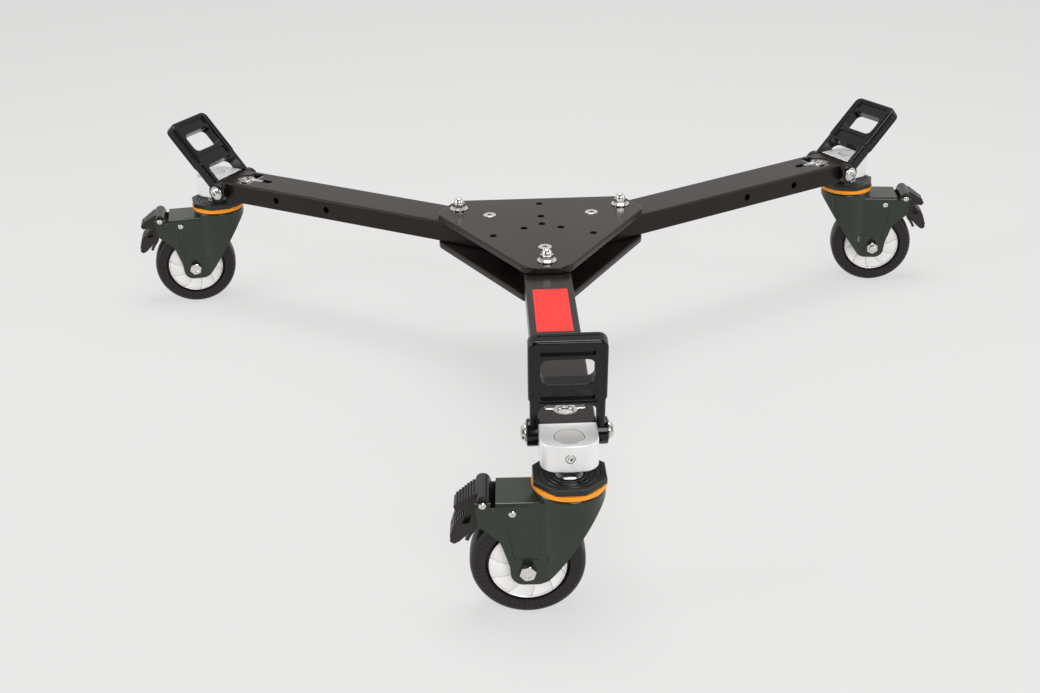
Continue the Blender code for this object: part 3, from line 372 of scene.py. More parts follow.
def wheel_rays_effect():
    """Round the axle (Y): the radius, moulded rays, and how far a place is along its petal."""
    bench, given, target = make_effect("wheel_rays", [("Place", "Vector", None)],
                                       ["Radius", "Rays", "Petal"])
    parts = bench.add("SeparateXYZ", {0: given["Place"]}).outputs
    flat = bench.add("CombineXYZ", {"X": parts["X"], "Z": parts["Z"]})
    radius = bench.add("VectorMath", {0: flat.outputs[0]}, operation="LENGTH").outputs["Value"]
    angle = bench.calc("ARCTAN2", parts["Z"], parts["X"])
    wave = bench.calc("SINE", bench.calc("MULTIPLY", angle, TYRE_RAYS))
    bow = bench.calc("POWER", bench.ramp(radius, HUB_R, PETAL_END_R), 2.0)
    turned = bench.calc("MULTIPLY_ADD", bow, PETAL_BOW, angle)
    petal = bench.calc("FLOORED_MODULO", bench.calc("MULTIPLY", turned, PETALS / math.tau), 1.0)
    bench.connect(target, {"Radius": radius, "Rays": wave, "Petal": petal})
    return bench.tree


def start_material(name, own_frame=True):
    """A new material with its bench, its shader and each point's place, in the piece's own frame."""
    material = bpy.data.materials.new(name)
    material.use_nodes = True
    bench = NodeBench(material.node_tree)
    if own_frame:
        place = bench.add("Attribute", attribute_name="own_place").outputs["Vector"]
    else:
        place = bench.add("TexCoord").outputs["Object"]
    return material, bench, material.node_tree.nodes["Principled BSDF"], place


def between(bench, factor, low=0.0, high=1.0):
    """Spreads a 0.3 to 0.7 noise over low to high."""
    return bench.ramp(factor, 0.3, 0.7, low, high)


def mottled(bench, coat, dark, light):
    return bench.mix(between(bench, coat["Unevenness"]), (*dark, 1.0), (*light, 1.0))


def coated_metal(name, dark, light, roughness, grain=2500.0, relief=0.02, drawn=False, gloss=0.5,
                 ior=1.5, tint=(1.0, 1.0, 1.0)):
    """Powder coat or enamel over metal; also smooth mouldings."""
    material, bench, shader, place = start_material(name)
    coat = bench.effect("coat_grain", Place=place, Grain=grain)
    height = coat["Height"]
    if drawn:
        lines = bench.effect("drawn_lines", Place=place, Fineness=700.0)["Lines"]
        height = bench.calc("ADD", height, lines)
    bench.connect(shader, {
        "Base Color": mottled(bench, coat, dark, light), "Specular IOR Level": gloss, "IOR": ior,
        "Specular Tint": (*tint, 1.0),
        "Roughness": between(bench, coat["Unevenness"], roughness - 0.04, roughness + 0.04),
        "Normal": bench.relief(relief, 0.001, height)})
    return material


def bare_metal(name, dark, light, roughness, lines=900.0, relief=0.02, metallic=1.0):
    """Plated or satin metal with fine lines."""
    material, bench, shader, place = start_material(name)
    brushed = bench.effect("drawn_lines", Place=place, Fineness=lines)["Lines"]
    coat = bench.effect("coat_grain", Place=place, Grain=1200.0, Cloud=60.0)
    bench.connect(shader, {
        "Base Color": mottled(bench, coat, dark, light), "Metallic": metallic,
        "Roughness": between(bench, brushed, roughness - 0.05, roughness + 0.05),
        "Normal": bench.relief(relief, 0.001, brushed)})
    return material


def tyre_rubber():
    """Brown-black rubber; moulded rays on the side walls, as faint bumps with a painted highlight (a
    lighter colour) along each ray.
    """
    material, bench, shader, place = start_material("tyre_rubber")
    coat = bench.effect("coat_grain", Place=place, Grain=900.0, Cloud=90.0)
    rays = bench.effect("wheel_rays", Place=place)
    crest = bench.ramp(rays["Rays"], RAY_CREST, 1.0)
    broken = bench.calc("MULTIPLY", crest, between(bench, coat["Unevenness"]))
    # Painted highlight: the rays are coloured lighter, standing for light caught by the moulded ribs; the
    # same mask also raises them as faint bumps.
    ray_bump_and_painted_highlight = bench.calc("MULTIPLY", broken, bench.ramp(rays["Radius"], *RAY_FADE, 1.0, 0.0))
    bench.connect(shader, {
        "Base Color": bench.mix(ray_bump_and_painted_highlight, (0.013, 0.0105, 0.010, 1.0), (0.060, 0.044, 0.038, 1.0)),
        "Roughness": between(bench, coat["Unevenness"], 0.42, 0.55), "Specular IOR Level": 0.32,
        "Normal": bench.relief(0.12, 0.0006, bench.calc("MULTIPLY_ADD", ray_bump_and_painted_highlight, 0.6, coat["Height"]))})
    return material


def hub_white():
    """Glossy pale moulding with painted light: painted shading across each petal, a painted shade line at
    each petal's edge, and black painted shade in the ring next to the tyre.
    """
    material, bench, shader, place = start_material("hub_silver")
    coat = bench.effect("coat_grain", Place=place, Grain=1800.0, Cloud=120.0)
    rays = bench.effect("wheel_rays", Place=place)
    # Painted shading: each petal runs from grey to white across its width, standing in for a sloped petal.
    body = bench.mix(rays["Petal"], (0.86, 0.85, 0.84, 1.0), (1.0, 0.99, 0.98, 1.0))
    # Painted shade: a dark grey line at the edge of each petal, where a step would throw shade; together
    # with the gradient above, this is all painted shading.
    painted_petal_shading = bench.mix(bench.ramp(rays["Petal"], 0.0, 0.045, 1.0, 0.0), body, (0.20, 0.20, 0.20, 1.0))
    # Painted shade: the ring between the web and the tyre is coloured black and is not metallic.
    painted_shade_gap_ring = bench.ramp(rays["Radius"], *GAP_RING)
    bench.connect(shader, {
        "Base Color": bench.mix(painted_shade_gap_ring, painted_petal_shading, (0.010, 0.009, 0.009, 1.0)),
        "Metallic": bench.ramp(painted_shade_gap_ring, 0.0, 1.0, 0.30, 0.0),
        "Roughness": between(bench, coat["Unevenness"], 0.30, 0.33),
        "Normal": bench.relief(0.002, 0.0002, coat["Height"])})
    return material


def stem_chrome():
    """Bright at the block's top; darker chrome below, between the block and the cap."""
    material, bench, shader, place = start_material("stem_chrome")
    brushed = bench.effect("drawn_lines", Place=place, Fineness=900.0)
    coat = bench.effect("coat_grain", Place=place, Grain=1200.0, Cloud=150.0)
    height = bench.add("SeparateXYZ", {0: place}).outputs["Z"]
    upper = bench.ramp(height, TUBE_BOTTOM, TUBE_BOTTOM + 0.002)
    lower_tone = mottled(bench, coat, (0.34, 0.345, 0.35), (0.62, 0.625, 0.63))
    bench.connect(shader, {
        "Base Color": bench.mix(upper, lower_tone, (0.80, 0.785, 0.775, 1.0)), "Metallic": 1.0,
        "Roughness": bench.ramp(upper, 0.0, 1.0, 0.16, 0.36),
        "Normal": bench.relief(0.015, 0.0005, brushed["Lines"])})
    return material


def floor_paper():
    """Pale paper, most of it shown at one even brightness, the rest with its own light and shadow."""
    material, bench, shader, place = start_material("studio_paper", own_frame=False)
    coat = bench.effect("coat_grain", Place=place, Grain=400.0, Cloud=1.2)
    bench.connect(shader, {"Base Color": mottled(bench, coat, (0.71, 0.705, 0.70), (0.73, 0.725, 0.72)),
                           "Roughness": 0.9, "Specular IOR Level": 0.1})
    even = bench.add("Emission", {"Color": (*BACKDROP, 1.0), "Strength": 1.0})
    share = bench.calc("MULTIPLY", shown_rays(bench), PAPER_EVEN)
    both = bench.add("MixShader", {0: share, 1: shader.outputs[0], 2: even.outputs[0]})
    bench.connect(material.node_tree.nodes["Material Output"], {"Surface": both.outputs[0]})
    return material


EFFECTS = {"coat_grain": coat_grain_effect(), "drawn_lines": drawn_lines_effect(),
           "wheel_rays": wheel_rays_effect()}

WARM = (1.0, 0.93, 0.89)
FINISHES = {
    "plate_black": coated_metal("plate_black", (0.0125, 0.0095, 0.0085), (0.017, 0.0135, 0.012), 0.19,
                                ior=1.33, tint=WARM),
    "arm_black": coated_metal("arm_black", (0.0115, 0.0085, 0.008), (0.016, 0.0125, 0.0115), 0.24,
                              drawn=True, ior=1.30, tint=WARM),
    "block_alloy": bare_metal("block_alloy", (0.88, 0.875, 0.87), (0.92, 0.915, 0.91), 0.42, 1400.0,
                              0.005, 0.6),
    "seat_alloy": bare_metal("seat_alloy", (0.42, 0.415, 0.41), (0.62, 0.61, 0.60), 0.26, 1400.0, 0.01),
    "zinc": bare_metal("zinc", (0.66, 0.65, 0.63), (0.78, 0.77, 0.75), 0.20),
    "lever_black": coated_metal("lever_black", (0.0026, 0.0024, 0.0024), (0.0045, 0.004, 0.004), 0.12,
                                1500.0, 0.006, gloss=0.34),
    "cap_black": coated_metal("cap_black", (0.011, 0.014, 0.012), (0.016, 0.020, 0.016), 0.34, gloss=0.4),
    "seal_orange": coated_metal("seal_orange", (0.98, 0.31, 0.008), (1.0, 0.36, 0.012), 0.40, gloss=0.4),
    "fork_green": coated_metal("fork_green", (0.018, 0.025, 0.016), (0.024, 0.032, 0.021), 0.18,
                               relief=0.010, gloss=0.42),
    "tyre_rubber": tyre_rubber(),
    "hub_silver": hub_white(),
    "stem_chrome": stem_chrome(),
    "label_red": coated_metal("label_red", (0.74, 0.034, 0.028), (0.79, 0.040, 0.034), 0.5, gloss=0.2),
    "pedal_nylon": coated_metal("pedal_nylon", (0.010, 0.009, 0.009), (0.015, 0.013, 0.013), 0.26,
                                gloss=0.42, tint=WARM),
}


# Shaping

def laid(axis, a, b, c):
    """A point whose outline lies in (a, b) and whose depth along axis is c."""
    return Vector({"X": (c, a, b), "Y": (a, c, b), "Z": (a, b, c)}[axis])


def box_corners(a_low, a_high, b_low, b_high, radius=0.0):
    return [(a_low, b_low, radius), (a_high, b_low, radius), (a_high, b_high, radius),
            (a_low, b_high, radius)]


def regular_corners(across_flats, sides, turn=0.0):
    reach = across_flats / 2 / math.cos(math.pi / sides)
    angles = [turn + math.pi / sides + math.tau * k / sides for k in range(sides)]
    return [(reach * math.cos(angle), reach * math.sin(angle), 0.0) for angle in angles]


def round_edges(bm, edges, size, steps=3):
    bmesh.ops.bevel(bm, geom=edges, offset=size, offset_type="OFFSET", affect="EDGES", segments=steps,
                    profile=0.5, clamp_overlap=True, material=-1)


def sheet_of(corners, axis, level, arc_steps):
    """One flat face; each corner is (a, b, radius)."""
    bm = bmesh.new()
    verts = [bm.verts.new(laid(axis, a, b, level)) for a, b, radius in corners]
    bm.faces.new(verts)
    places = [vert.co.copy() for vert in verts]
    for index, (a, b, radius) in enumerate(corners):
        if radius > 0:
            back = places[index - 1] - places[index]
            ahead = places[(index + 1) % len(places)] - places[index]
            reach = radius / math.tan(back.angle(ahead) / 2)
            bmesh.ops.bevel(bm, geom=[verts[index]], offset=reach, offset_type="OFFSET",
                            affect="VERTICES", segments=arc_steps, profile=0.5, material=-1)
    return bm


def slab(corners, low, high, axis="Z", rim=0.0, steps=3, arc_steps=8):
    """A flat outline given depth, its two rims rounded."""
    bm = sheet_of(corners, axis, low, arc_steps)
    grown = bmesh.ops.extrude_face_region(bm, geom=bm.faces[:])
    far = [item for item in grown["geom"] if isinstance(item, bmesh.types.BMVert)]
    bmesh.ops.translate(bm, verts=far, vec=laid(axis, 0, 0, high - low))
    bmesh.ops.recalc_face_normals(bm, faces=bm.faces)
    if rim > 0:
        index = "XYZ".index(axis)
        flat = [e for e in bm.edges if abs(e.verts[0].co[index] - e.verts[1].co[index]) < 1e-7]
        round_edges(bm, flat, rim, steps)
    return bm


def lathe(profile, axis="Z", centre=(0.0, 0.0), segments=64):
    """A turned solid from (radius, height) points; the profile may touch the axis."""
    bm = bmesh.new()
    verts = [bm.verts.new((radius, 0.0, height)) for radius, height in profile]
    edges = [bm.edges.new((verts[k - 1], verts[k])) for k in range(len(verts))]
    on_axis = [e for e in edges if max(abs(v.co.x) for v in e.verts) < 1e-9]
    bmesh.ops.delete(bm, geom=on_axis, context="EDGES")
    bmesh.ops.spin(bm, geom=bm.verts[:] + bm.edges[:], cent=(0, 0, 0), axis=(0, 0, 1),
                   angle=math.tau, steps=segments, use_merge=True, use_duplicate=False)
    bmesh.ops.remove_doubles(bm, verts=bm.verts, dist=1e-6)
    bmesh.ops.recalc_face_normals(bm, faces=bm.faces)
    turn = {"X": Matrix.Rotation(math.pi / 2, 3, "Y"), "Y": Matrix.Rotation(-math.pi / 2, 3, "X"),
            "Z": Matrix.Identity(3)}[axis]
    bmesh.ops.rotate(bm, verts=bm.verts, matrix=turn)
    bmesh.ops.translate(bm, verts=bm.verts, vec=laid(axis, *centre, 0))
    return bm


def soften(bm, size, steps, over, where=None):
    """Round the edges that turn by more than over degrees."""
    sharp = [e for e in bm.edges if e.is_manifold and e.calc_face_angle() > math.radians(over)
             and (where is None or where(e))]
    round_edges(bm, sharp, size, steps)
    return bm


def rod(radius, low, high, axis="Z", centre=(0.0, 0.0), segments=32):
    """A plain round stretch, to be joined to a piece or cut from it."""
    return lathe([(0, low), (radius, low), (radius, high), (0, high)], axis, centre, segments)


def both_ends(side):
    """A turned outline alike at both ends; side runs from the middle plane's side to its own end."""
    return [(radius, -height) for radius, height in reversed(side)] + side


def above(level):
    """Tells whether an edge lies wholly above a level."""
    return lambda edge: min(vert.co.z for vert in edge.verts) > level


def drill(radius, low, high, axis="Z", centre=(0.0, 0.0), lip=0.0003, segments=40):
    """Cutter for a through hole whose two mouths are chamfered."""
    spare = 0.0004
    flare = radius + lip + spare
    return lathe([(0, low - spare), (flare, low - spare), (radius, low + lip), (radius, high - lip),
                  (flare, high + spare), (0, high + spare)], axis, centre, segments)


def together(*solids):
    """Solids that don't meet, as one."""
    whole = bmesh.new()
    for bm in solids:
        mesh = mesh_of(bm, "together")
        whole.from_mesh(mesh)
        bpy.data.meshes.remove(mesh)
    return whole


def both_sides(bm):
    """The solid and its mirror image on the other side of the plane Y = 0."""
    twin = bm.copy()
    bmesh.ops.scale(twin, vec=(1, -1, 1), verts=twin.verts)
    bmesh.ops.reverse_faces(twin, faces=twin.faces)
    return together(bm, twin)


class Blank:
    """A solid being worked: others are joined to it or cut from it."""

    def __init__(self, bm):
        self.item = add_object("blank", mesh_of(bm, "blank"))

    def work(self, bm, operation):
        tool = add_object("tool", mesh_of(bm, "tool"))
        modifier = self.item.modifiers.new(operation, "BOOLEAN")
        modifier.operation = operation
        modifier.solver = "EXACT"
        modifier.object = tool
        graph = bpy.context.evaluated_depsgraph_get()
        result = bpy.data.meshes.new_from_object(self.item.evaluated_get(graph))
        self.item.modifiers.clear()
        used = [self.item.data, tool.data]
        self.item.data = result
        bpy.data.objects.remove(tool)
        for mesh in used:
            bpy.data.meshes.remove(mesh)
        return self

    def join(self, bm):
        return self.work(bm, "UNION")

    def cut(self, bm):
        return self.work(bm, "DIFFERENCE")

    def keep(self, bm):
        return self.work(bm, "INTERSECT")

    def take(self):
        """The worked solid, with the boolean's slivers merged."""
        bm = bmesh.new()
        bm.from_mesh(self.item.data)
        bpy.data.objects.remove(self.item)
        bmesh.ops.remove_doubles(bm, verts=bm.verts, dist=SLIVER)
        bmesh.ops.dissolve_degenerate(bm, edges=bm.edges, dist=1e-6)
        bmesh.ops.dissolve_limit(bm, angle_limit=math.radians(0.2), verts=bm.verts, edges=bm.edges)
        return bm


# Centre plates and their screws

def on_heading(radius, heading):
    return (radius * math.cos(math.radians(heading)), radius * math.sin(math.radians(heading)))


def plate_corners():
    half_tip = (2 * PLATE_APOTHEM - PLATE_TIP) * math.tan(math.radians(30))
    corners = []
    for heading in TIP_HEADINGS:
        along = Vector(on_heading(1.0, heading))
        across = Vector((-along.y, along.x))
        for side in (-1, 1):
            corner = along * PLATE_TIP + across * half_tip * side
            corners.append((corner.x, corner.y, PLATE_CORNER))
    return corners


def top_plate():
    plate = Blank(slab(plate_corners(), PLATE_LOW, PLATE_TOP, "Z", PLATE_RIM, 5, 14))
    drills = [drill(PLATE_HOLE_R, PLATE_LOW, PLATE_TOP, lip=0.0005)]
    for heading in TIP_HEADINGS:
        for ring in HOLE_RINGS:
            at = on_heading(ring, heading + 180)
            drills.append(drill(PLATE_HOLE_R, PLATE_LOW, PLATE_TOP, centre=at, lip=0.0005))
        drills.append(drill(STUD_R + GAP, PLATE_LOW, PLATE_TOP, centre=on_heading(STUD_AT, heading)))
        mouth, hole = SCREW_HEAD_R + 0.0004, STUD_R + GAP
        drills.append(lathe([(0, PLATE_LOW - 0.001), (hole, PLATE_LOW - 0.001),
                             (hole, PLATE_TOP - mouth + hole), (mouth, PLATE_TOP),
                             (mouth + 0.0006, PLATE_TOP + 0.0006), (0, PLATE_TOP + 0.0006)],
                            "Z", on_heading(SCREW_AT, heading), 56))
    return plate.cut(together(*drills)).take()


def bottom_plate():
    plate = Blank(slab(plate_corners(), BASE_LOW, BASE_TOP, "Z", PLATE_RIM, 5, 14))
    drills = [drill(STUD_R + GAP, BASE_LOW, BASE_TOP, centre=on_heading(at, heading))
              for heading in TIP_HEADINGS for at in (STUD_AT, SCREW_AT)]
    return plate.cut(together(*drills)).take()


def hexagon_with_worn_corners(across, low, high, axis="Z", turn=0.0, ends=(True, True)):
    """A hexagon whose corners are turned down to a cone at its ends."""
    outer = across / 2 / math.cos(math.pi / 6) + CONE_SPARE
    inner = across / 2 * CONE_START
    drop = (outer - inner) * CONE_SLOPE
    profile = [(0, low)]
    profile += [(inner, low), (outer, low + drop)] if ends[0] else [(outer, low)]
    profile += [(outer, high - drop), (inner, high)] if ends[1] else [(outer, high)]
    profile.append((0, high))
    blank = Blank(slab(regular_corners(across, 6, turn), low, high, axis))
    return blank.keep(lathe(profile, axis, segments=48))


def arm_bolt():
    top = BASE_LOW - GAP
    bolt = hexagon_with_worn_corners(STUD_HEX, top - 0.0053, top, ends=(True, False))
    bolt.join(rod(STUD_R, top - 0.001, PLATE_TOP + STUD_END))
    return bolt.take()


def dome_nut():
    low = PLATE_TOP + GAP
    washer = low + NUT_WASHER_T
    hex_top = washer + NUT_HEX_H
    dome_r = STUD_HEX * 0.455
    nut = hexagon_with_worn_corners(STUD_HEX, washer - 0.0004, hex_top)
    nut.join(lathe([(0, low), (NUT_WASHER_R - 0.0003, low), (NUT_WASHER_R, low + 0.0003),
                    (NUT_WASHER_R, washer - 0.0005), (NUT_WASHER_R - 0.0005, washer), (0, washer)],
                   segments=56))
    dome = [(0, hex_top - 0.001), (dome_r, hex_top - 0.001)]
    for step in range(10):
        angle = math.pi / 2 * step / 9
        dome.append((dome_r * math.cos(angle), hex_top + NUT_DOME_H * math.sin(angle)))
    nut.join(lathe(dome, segments=56))
    nut.cut(rod(STUD_R + GAP, low - 0.001, PLATE_TOP + STUD_END + GAP))
    return nut.take()


def plate_screw():
    top = PLATE_TOP - 0.0001
    screw = Blank(lathe([(0, BASE_LOW + 0.001), (STUD_R, BASE_LOW + 0.001),
                         (STUD_R, top - SCREW_HEAD_R + STUD_R), (SCREW_HEAD_R, top - 0.0003),
                         (SCREW_HEAD_R - 0.0004, top), (0, top)], segments=56))
    screw.cut(slab(regular_corners(0.0048, 6), top - 0.0042, top + 0.001))
    return screw.take()


# Arm

def seat_opening():
    """Cutter for the joined slots and the round hole over the spike seat."""
    low, high = TUBE_TOP - 1.5 * TUBE_WALL, TUBE_TOP + 0.001
    opening = Blank(slab(box_corners(*SLOT_ENDS, -SLOT_HALF_W, SLOT_HALF_W, 0.003), low, high))
    opening.join(slab(box_corners(KEYWAY_FROM, CUP_AT, -KEYWAY_HALF_W, KEYWAY_HALF_W, 0.0041), low, high))
    opening.join(rod(CUP_R + GAP, low, high, "Z", (CUP_AT, 0), 48))
    return opening.take()


def arm_tube():
    half = TUBE_W / 2
    tube = Blank(slab(box_corners(-half, half, TUBE_BOTTOM, TUBE_TOP, 0.0022), TUBE_INNER_END,
                      TUBE_OUTER_END, "X", 0.0003, 2, 7))
    inner = half - TUBE_WALL
    tube.cut(slab(box_corners(-inner, inner, TUBE_BOTTOM + TUBE_WALL, TUBE_TOP - TUBE_WALL, 0.0006),
                  TUBE_INNER_END - 0.001, TUBE_OUTER_END + 0.001, "X", arc_steps=3))
    tube.cut(seat_opening())
    for x in (STUD_AT, SCREW_AT):
        tube.cut(drill(STUD_R + GAP, TUBE_BOTTOM, TUBE_TOP, centre=(x, 0)))
    for x in SIDE_HOLE_AT:
        tube.cut(drill(SIDE_HOLE_R, -half, half, "Y", (x, TUBE_MID), 0.0004))
    tube.cut(drill(STUD_R + GAP, -half, half, "Y", (HINGE_AT, HINGE_Z)))
    on_top = above(TUBE_TOP - 0.0001)
    return soften(tube.take(), 0.00025, 2, 60.0, lambda edge: on_top(edge) and all(
        v.co.x < TUBE_OUTER_END - 0.001 and abs(v.co.y) < half - 0.003 for v in edge.verts))


def caster_block():
    rear, nose = TUBE_OUTER_END + GAP, STEM_AT + BLOCK_NOSE
    half = TUBE_W / 2
    corner = TUBE_W * 0.29
    shoulder, turn = nose - 0.0015, half - corner
    corners = [(rear, -half, 0), (shoulder, -half, corner), (nose, -turn * 0.3, turn * 0.98),
               (nose, turn * 0.3, turn * 0.98), (shoulder, half, corner), (rear, half, 0)]
    block = Blank(slab(corners, TUBE_BOTTOM, TUBE_TOP, "Z", 0.0009, 4, 14))
    inner = half - TUBE_WALL - GAP
    tongue = box_corners(-inner, inner, TUBE_BOTTOM + TUBE_WALL + GAP, TUBE_TOP - TUBE_WALL - GAP, 0.0006)
    block.join(slab(tongue, rear - 0.0125, rear + 0.003, "X"))
    block.cut(drill(STEM_R + 0.0005, TUBE_BOTTOM, TUBE_TOP, centre=(STEM_AT, 0), lip=0.0001, segments=72))
    block.cut(drill(STUD_R + GAP, -half, half, "Y", (HINGE_AT, HINGE_Z)))
    block.cut(drill(0.0043, STEM_AT + STEM_R - 0.002, nose - 0.0001, "X", (0, TUBE_MID), 0.0007))
    return block.take()


def set_screw():
    front, back = STEM_AT + BLOCK_NOSE - 0.0008, STEM_AT + STEM_R + GAP
    screw = Blank(lathe([(0, back), (0.004, back), (0.004, front - 0.0005), (0.0035, front), (0, front)],
                        "X", (0, TUBE_MID), 40))
    socket = [(y, z + TUBE_MID, 0.0) for y, z, radius in regular_corners(0.004, 6)]
    screw.cut(slab(socket, (front + back) / 2, front + 0.001, "X"))
    return screw.take()


def foot_seat():
    """Spike seat under the slots: a cross trough, a notched ridge and a round cup."""
    low, shelf, top = TUBE_BOTTOM + TUBE_WALL + GAP, TUBE_TOP - TUBE_WALL - GAP, TUBE_TOP - 0.0006
    half = TUBE_W / 2 - TUBE_WALL - 0.0005
    seat = Blank(slab(box_corners(*SEAT_ENDS, -half, half, 0.003), low, shelf))
    slot = box_corners(SLOT_ENDS[0] + GAP, SLOT_ENDS[1] - GAP, GAP - SLOT_HALF_W, SLOT_HALF_W - GAP,
                       0.0027)
    seat.join(slab(slot, shelf - 0.004, top))
    trough = (SLOT_ENDS[0] + SLOT_ENDS[1]) / 2 + 0.001
    seat.cut(rod(TROUGH_R, -half - 0.001, half + 0.001, "Y", (trough, top + 0.001), 56))
    ridge = KEYWAY_HALF_W - GAP
    seat.join(slab(box_corners(SEAT_ENDS[0] + 0.001, trough + 0.0005, -ridge, ridge, 0.0015),
                   shelf - 0.0093, top))
    seat.cut(slab([(-0.0022, top + 0.0006, 0), (0, top - 0.0024, 0.0004), (0.0022, top + 0.0006, 0)],
                  SLOT_ENDS[0] + 0.001, trough + 0.004, "X"))
    cup = Blank(lathe([(0, shelf - 0.0088), (CUP_R, shelf - 0.0088), (CUP_R, top - 0.0010),
                       (CUP_R - 0.0003, top - 0.0007), (0, top - 0.0007)], "Z", (CUP_AT, 0), 64))
    cup.cut(lathe([(0, top - 0.010), (0.0012, top - 0.010), (0.0066, top - 0.0024),
                   (0.0072, top - 0.0018), (0.0072, top + 0.002), (0, top + 0.002)],
                  "Z", (CUP_AT, 0), 56))
    seat.join(cup.take())
    return soften(seat.take(), 0.0003, 2, 55.0, above(shelf - 0.006))


# Foot clamp, upright in its own frame with the hinge axis at the origin

def foot_lever():
    """Moulded bail: two hubs, an arch, a finger window, two pockets and a thick grip bar."""
    half_t = LEVER_T / 2
    side = [(LEVER_LEG_OUT, 0.0, 0), (LEVER_LEG_OUT, 0.0385, 0.003), (LEVER_HALF_W, 0.0415, 0.003),
            (LEVER_HALF_W, LEVER_LENGTH, 0.0083)]
    corners = side + [(-y, z, radius) for y, z, radius in reversed(side)]
    lever = Blank(slab(corners, -half_t, half_t, "X", 0.0024, 6, 10))
    hub_in = LEVER_LEG_IN - 0.003
    hub = [(0, hub_in), (LEVER_HUB_R, hub_in), (LEVER_HUB_R, LEVER_HUB_OUT - 0.0016),
           (LEVER_HUB_R - 0.0005, LEVER_HUB_OUT - 0.0005), (LEVER_HUB_R - 0.0016, LEVER_HUB_OUT),
           (0, LEVER_HUB_OUT)]
    lever.join(both_sides(lathe(hub, "Y", segments=56)))
    reach = LEVER_HUB_R + 0.002
    lever.cut(slab([(-LEVER_LEG_IN, -reach, 0), (LEVER_LEG_IN, -reach, 0), (LEVER_LEG_IN, ARCH_TOP, 0.009),
                    (-LEVER_LEG_IN, ARCH_TOP, 0.009)], -reach, reach, "X", arc_steps=10))
    panel, pocket = 0.0252, 0.0230
    for face in (1, -1):
        outer, deep = face * (half_t + 0.002), face * (half_t - 0.0011)
        lever.cut(slab(box_corners(-panel, panel, 0.0373, 0.0973, 0.003), *sorted((deep, outer)), "X",
                       0.0004, 2))
        for low, high in (TOP_POCKET, LOW_POCKET):
            deep = face * (half_t - (0.0040 if face > 0 else 0.0026))
            lever.cut(slab(box_corners(-pocket, pocket, low, high, 0.0018), *sorted((deep, outer)), "X",
                           0.0004, 2))
    lever.cut(slab(box_corners(-WINDOW_HALF_W, WINDOW_HALF_W, *WINDOW, 0.0070), -reach, reach, "X",
                   arc_steps=10))
    rail = 0.0296
    for face in (1, -1):
        groove = box_corners(rail - 0.0006, rail + 0.0006, 0.046, LEVER_LENGTH - 0.009, 0.0005)
        depth = sorted((face * (half_t - 0.0006), face * (half_t + 0.001)))
        lever.cut(both_sides(slab(groove, *depth, "X", arc_steps=3)))
        at, near, far = face * 0.0036, LEVER_HALF_W - 0.0006, LEVER_HALF_W + 0.001
        groove = [(at - 0.0005, far, 0), (at - 0.0005, near, 0), (at + 0.0005, near, 0),
                  (at + 0.0005, far, 0)]
        lever.cut(both_sides(slab(groove, 0.047, LEVER_LENGTH - 0.012, "Z")))
    bevel = 0.0034
    wedge = [(half_t + 0.001, LEVER_LENGTH + 0.001 - bevel), (half_t + 0.001, LEVER_LENGTH + 0.001),
             (half_t + 0.001 - bevel, LEVER_LENGTH + 0.001)]
    for side in (1, -1):
        lever.cut(slab([(x * side, z, 0.0) for x, z in wedge], -LEVER_HALF_W - 0.001, LEVER_HALF_W + 0.001,
                       "Y"))
    lever.cut(slab(box_corners(-0.0021, -0.0012, LEVER_LENGTH - 0.0008, LEVER_LENGTH + 0.001),
                   -LEVER_HALF_W + 0.008, LEVER_HALF_W - 0.008, "Y"))
    lever.cut(drill(STUD_R + GAP, -LEVER_HUB_OUT, LEVER_HUB_OUT, "Y"))
    near = 0.0001

    def within(edge, half_width, low, high):
        return all(abs(v.co.y) < half_width + near and low < v.co.z < high + near for v in edge.verts)

    def at_window_or_arch(edge):
        flat = abs(edge.verts[0].co.x - edge.verts[1].co.x) < 1e-5
        return flat and (within(edge, WINDOW_HALF_W, WINDOW[0] - near, WINDOW[1])
                         or within(edge, LEVER_LEG_IN, LEVER_HUB_R + 0.003, ARCH_TOP))

    return soften(lever.take(), 0.0007, 3, 50.0, at_window_or_arch)


def lever_bolt():
    face = LEVER_HUB_OUT + GAP
    washer = face + 0.0012
    end = washer + 0.0036
    side = [(STUD_R, face), (0.0082, face), (0.0085, face + 0.0003), (0.0085, washer - 0.0004),
            (0.0081, washer), (0.0066, washer), (0.0068, washer + 0.0006), (0.0062, washer + 0.0022),
            (0.0048, washer + 0.0032), (0.0034, end), (0, end)]
    bolt = Blank(lathe(both_ends(side), "Y", segments=48))
    bolt.cut(both_sides(slab(regular_corners(0.0045, 6), end - 0.0022, end + 0.001, "Y")))
    return bolt.take()


# Swivel head, round the swivel axis

def swivel_stem():
    top, hex_top, hex_low = TUBE_TOP - 0.0002, TUBE_BOTTOM - GAP, CAP_TOP - 0.0027
    flange = CROWN_TOP - FORK_T - GAP
    stem = Blank(lathe([(0, flange - 0.005), (KINGPIN_FLANGE_R, flange - 0.005), (KINGPIN_FLANGE_R, flange),
                        (KINGPIN_R, flange), (KINGPIN_R, hex_top - 0.002), (STEM_R, hex_top - 0.002),
                        (STEM_R, top - 0.0002), (STEM_R - 0.0002, top), (0, top)], segments=72))
    stem.join(hexagon_with_worn_corners(STEM_HEX, hex_low, hex_top - 0.001).take())
    washer_top = hex_low + 0.0014
    stem.join(lathe([(0, hex_low), (0.0116, hex_low), (0.0118, hex_low + 0.0002),
                     (0.0118, washer_top - 0.0003), (0.0115, washer_top), (0, washer_top)], segments=56))
    return stem.take()


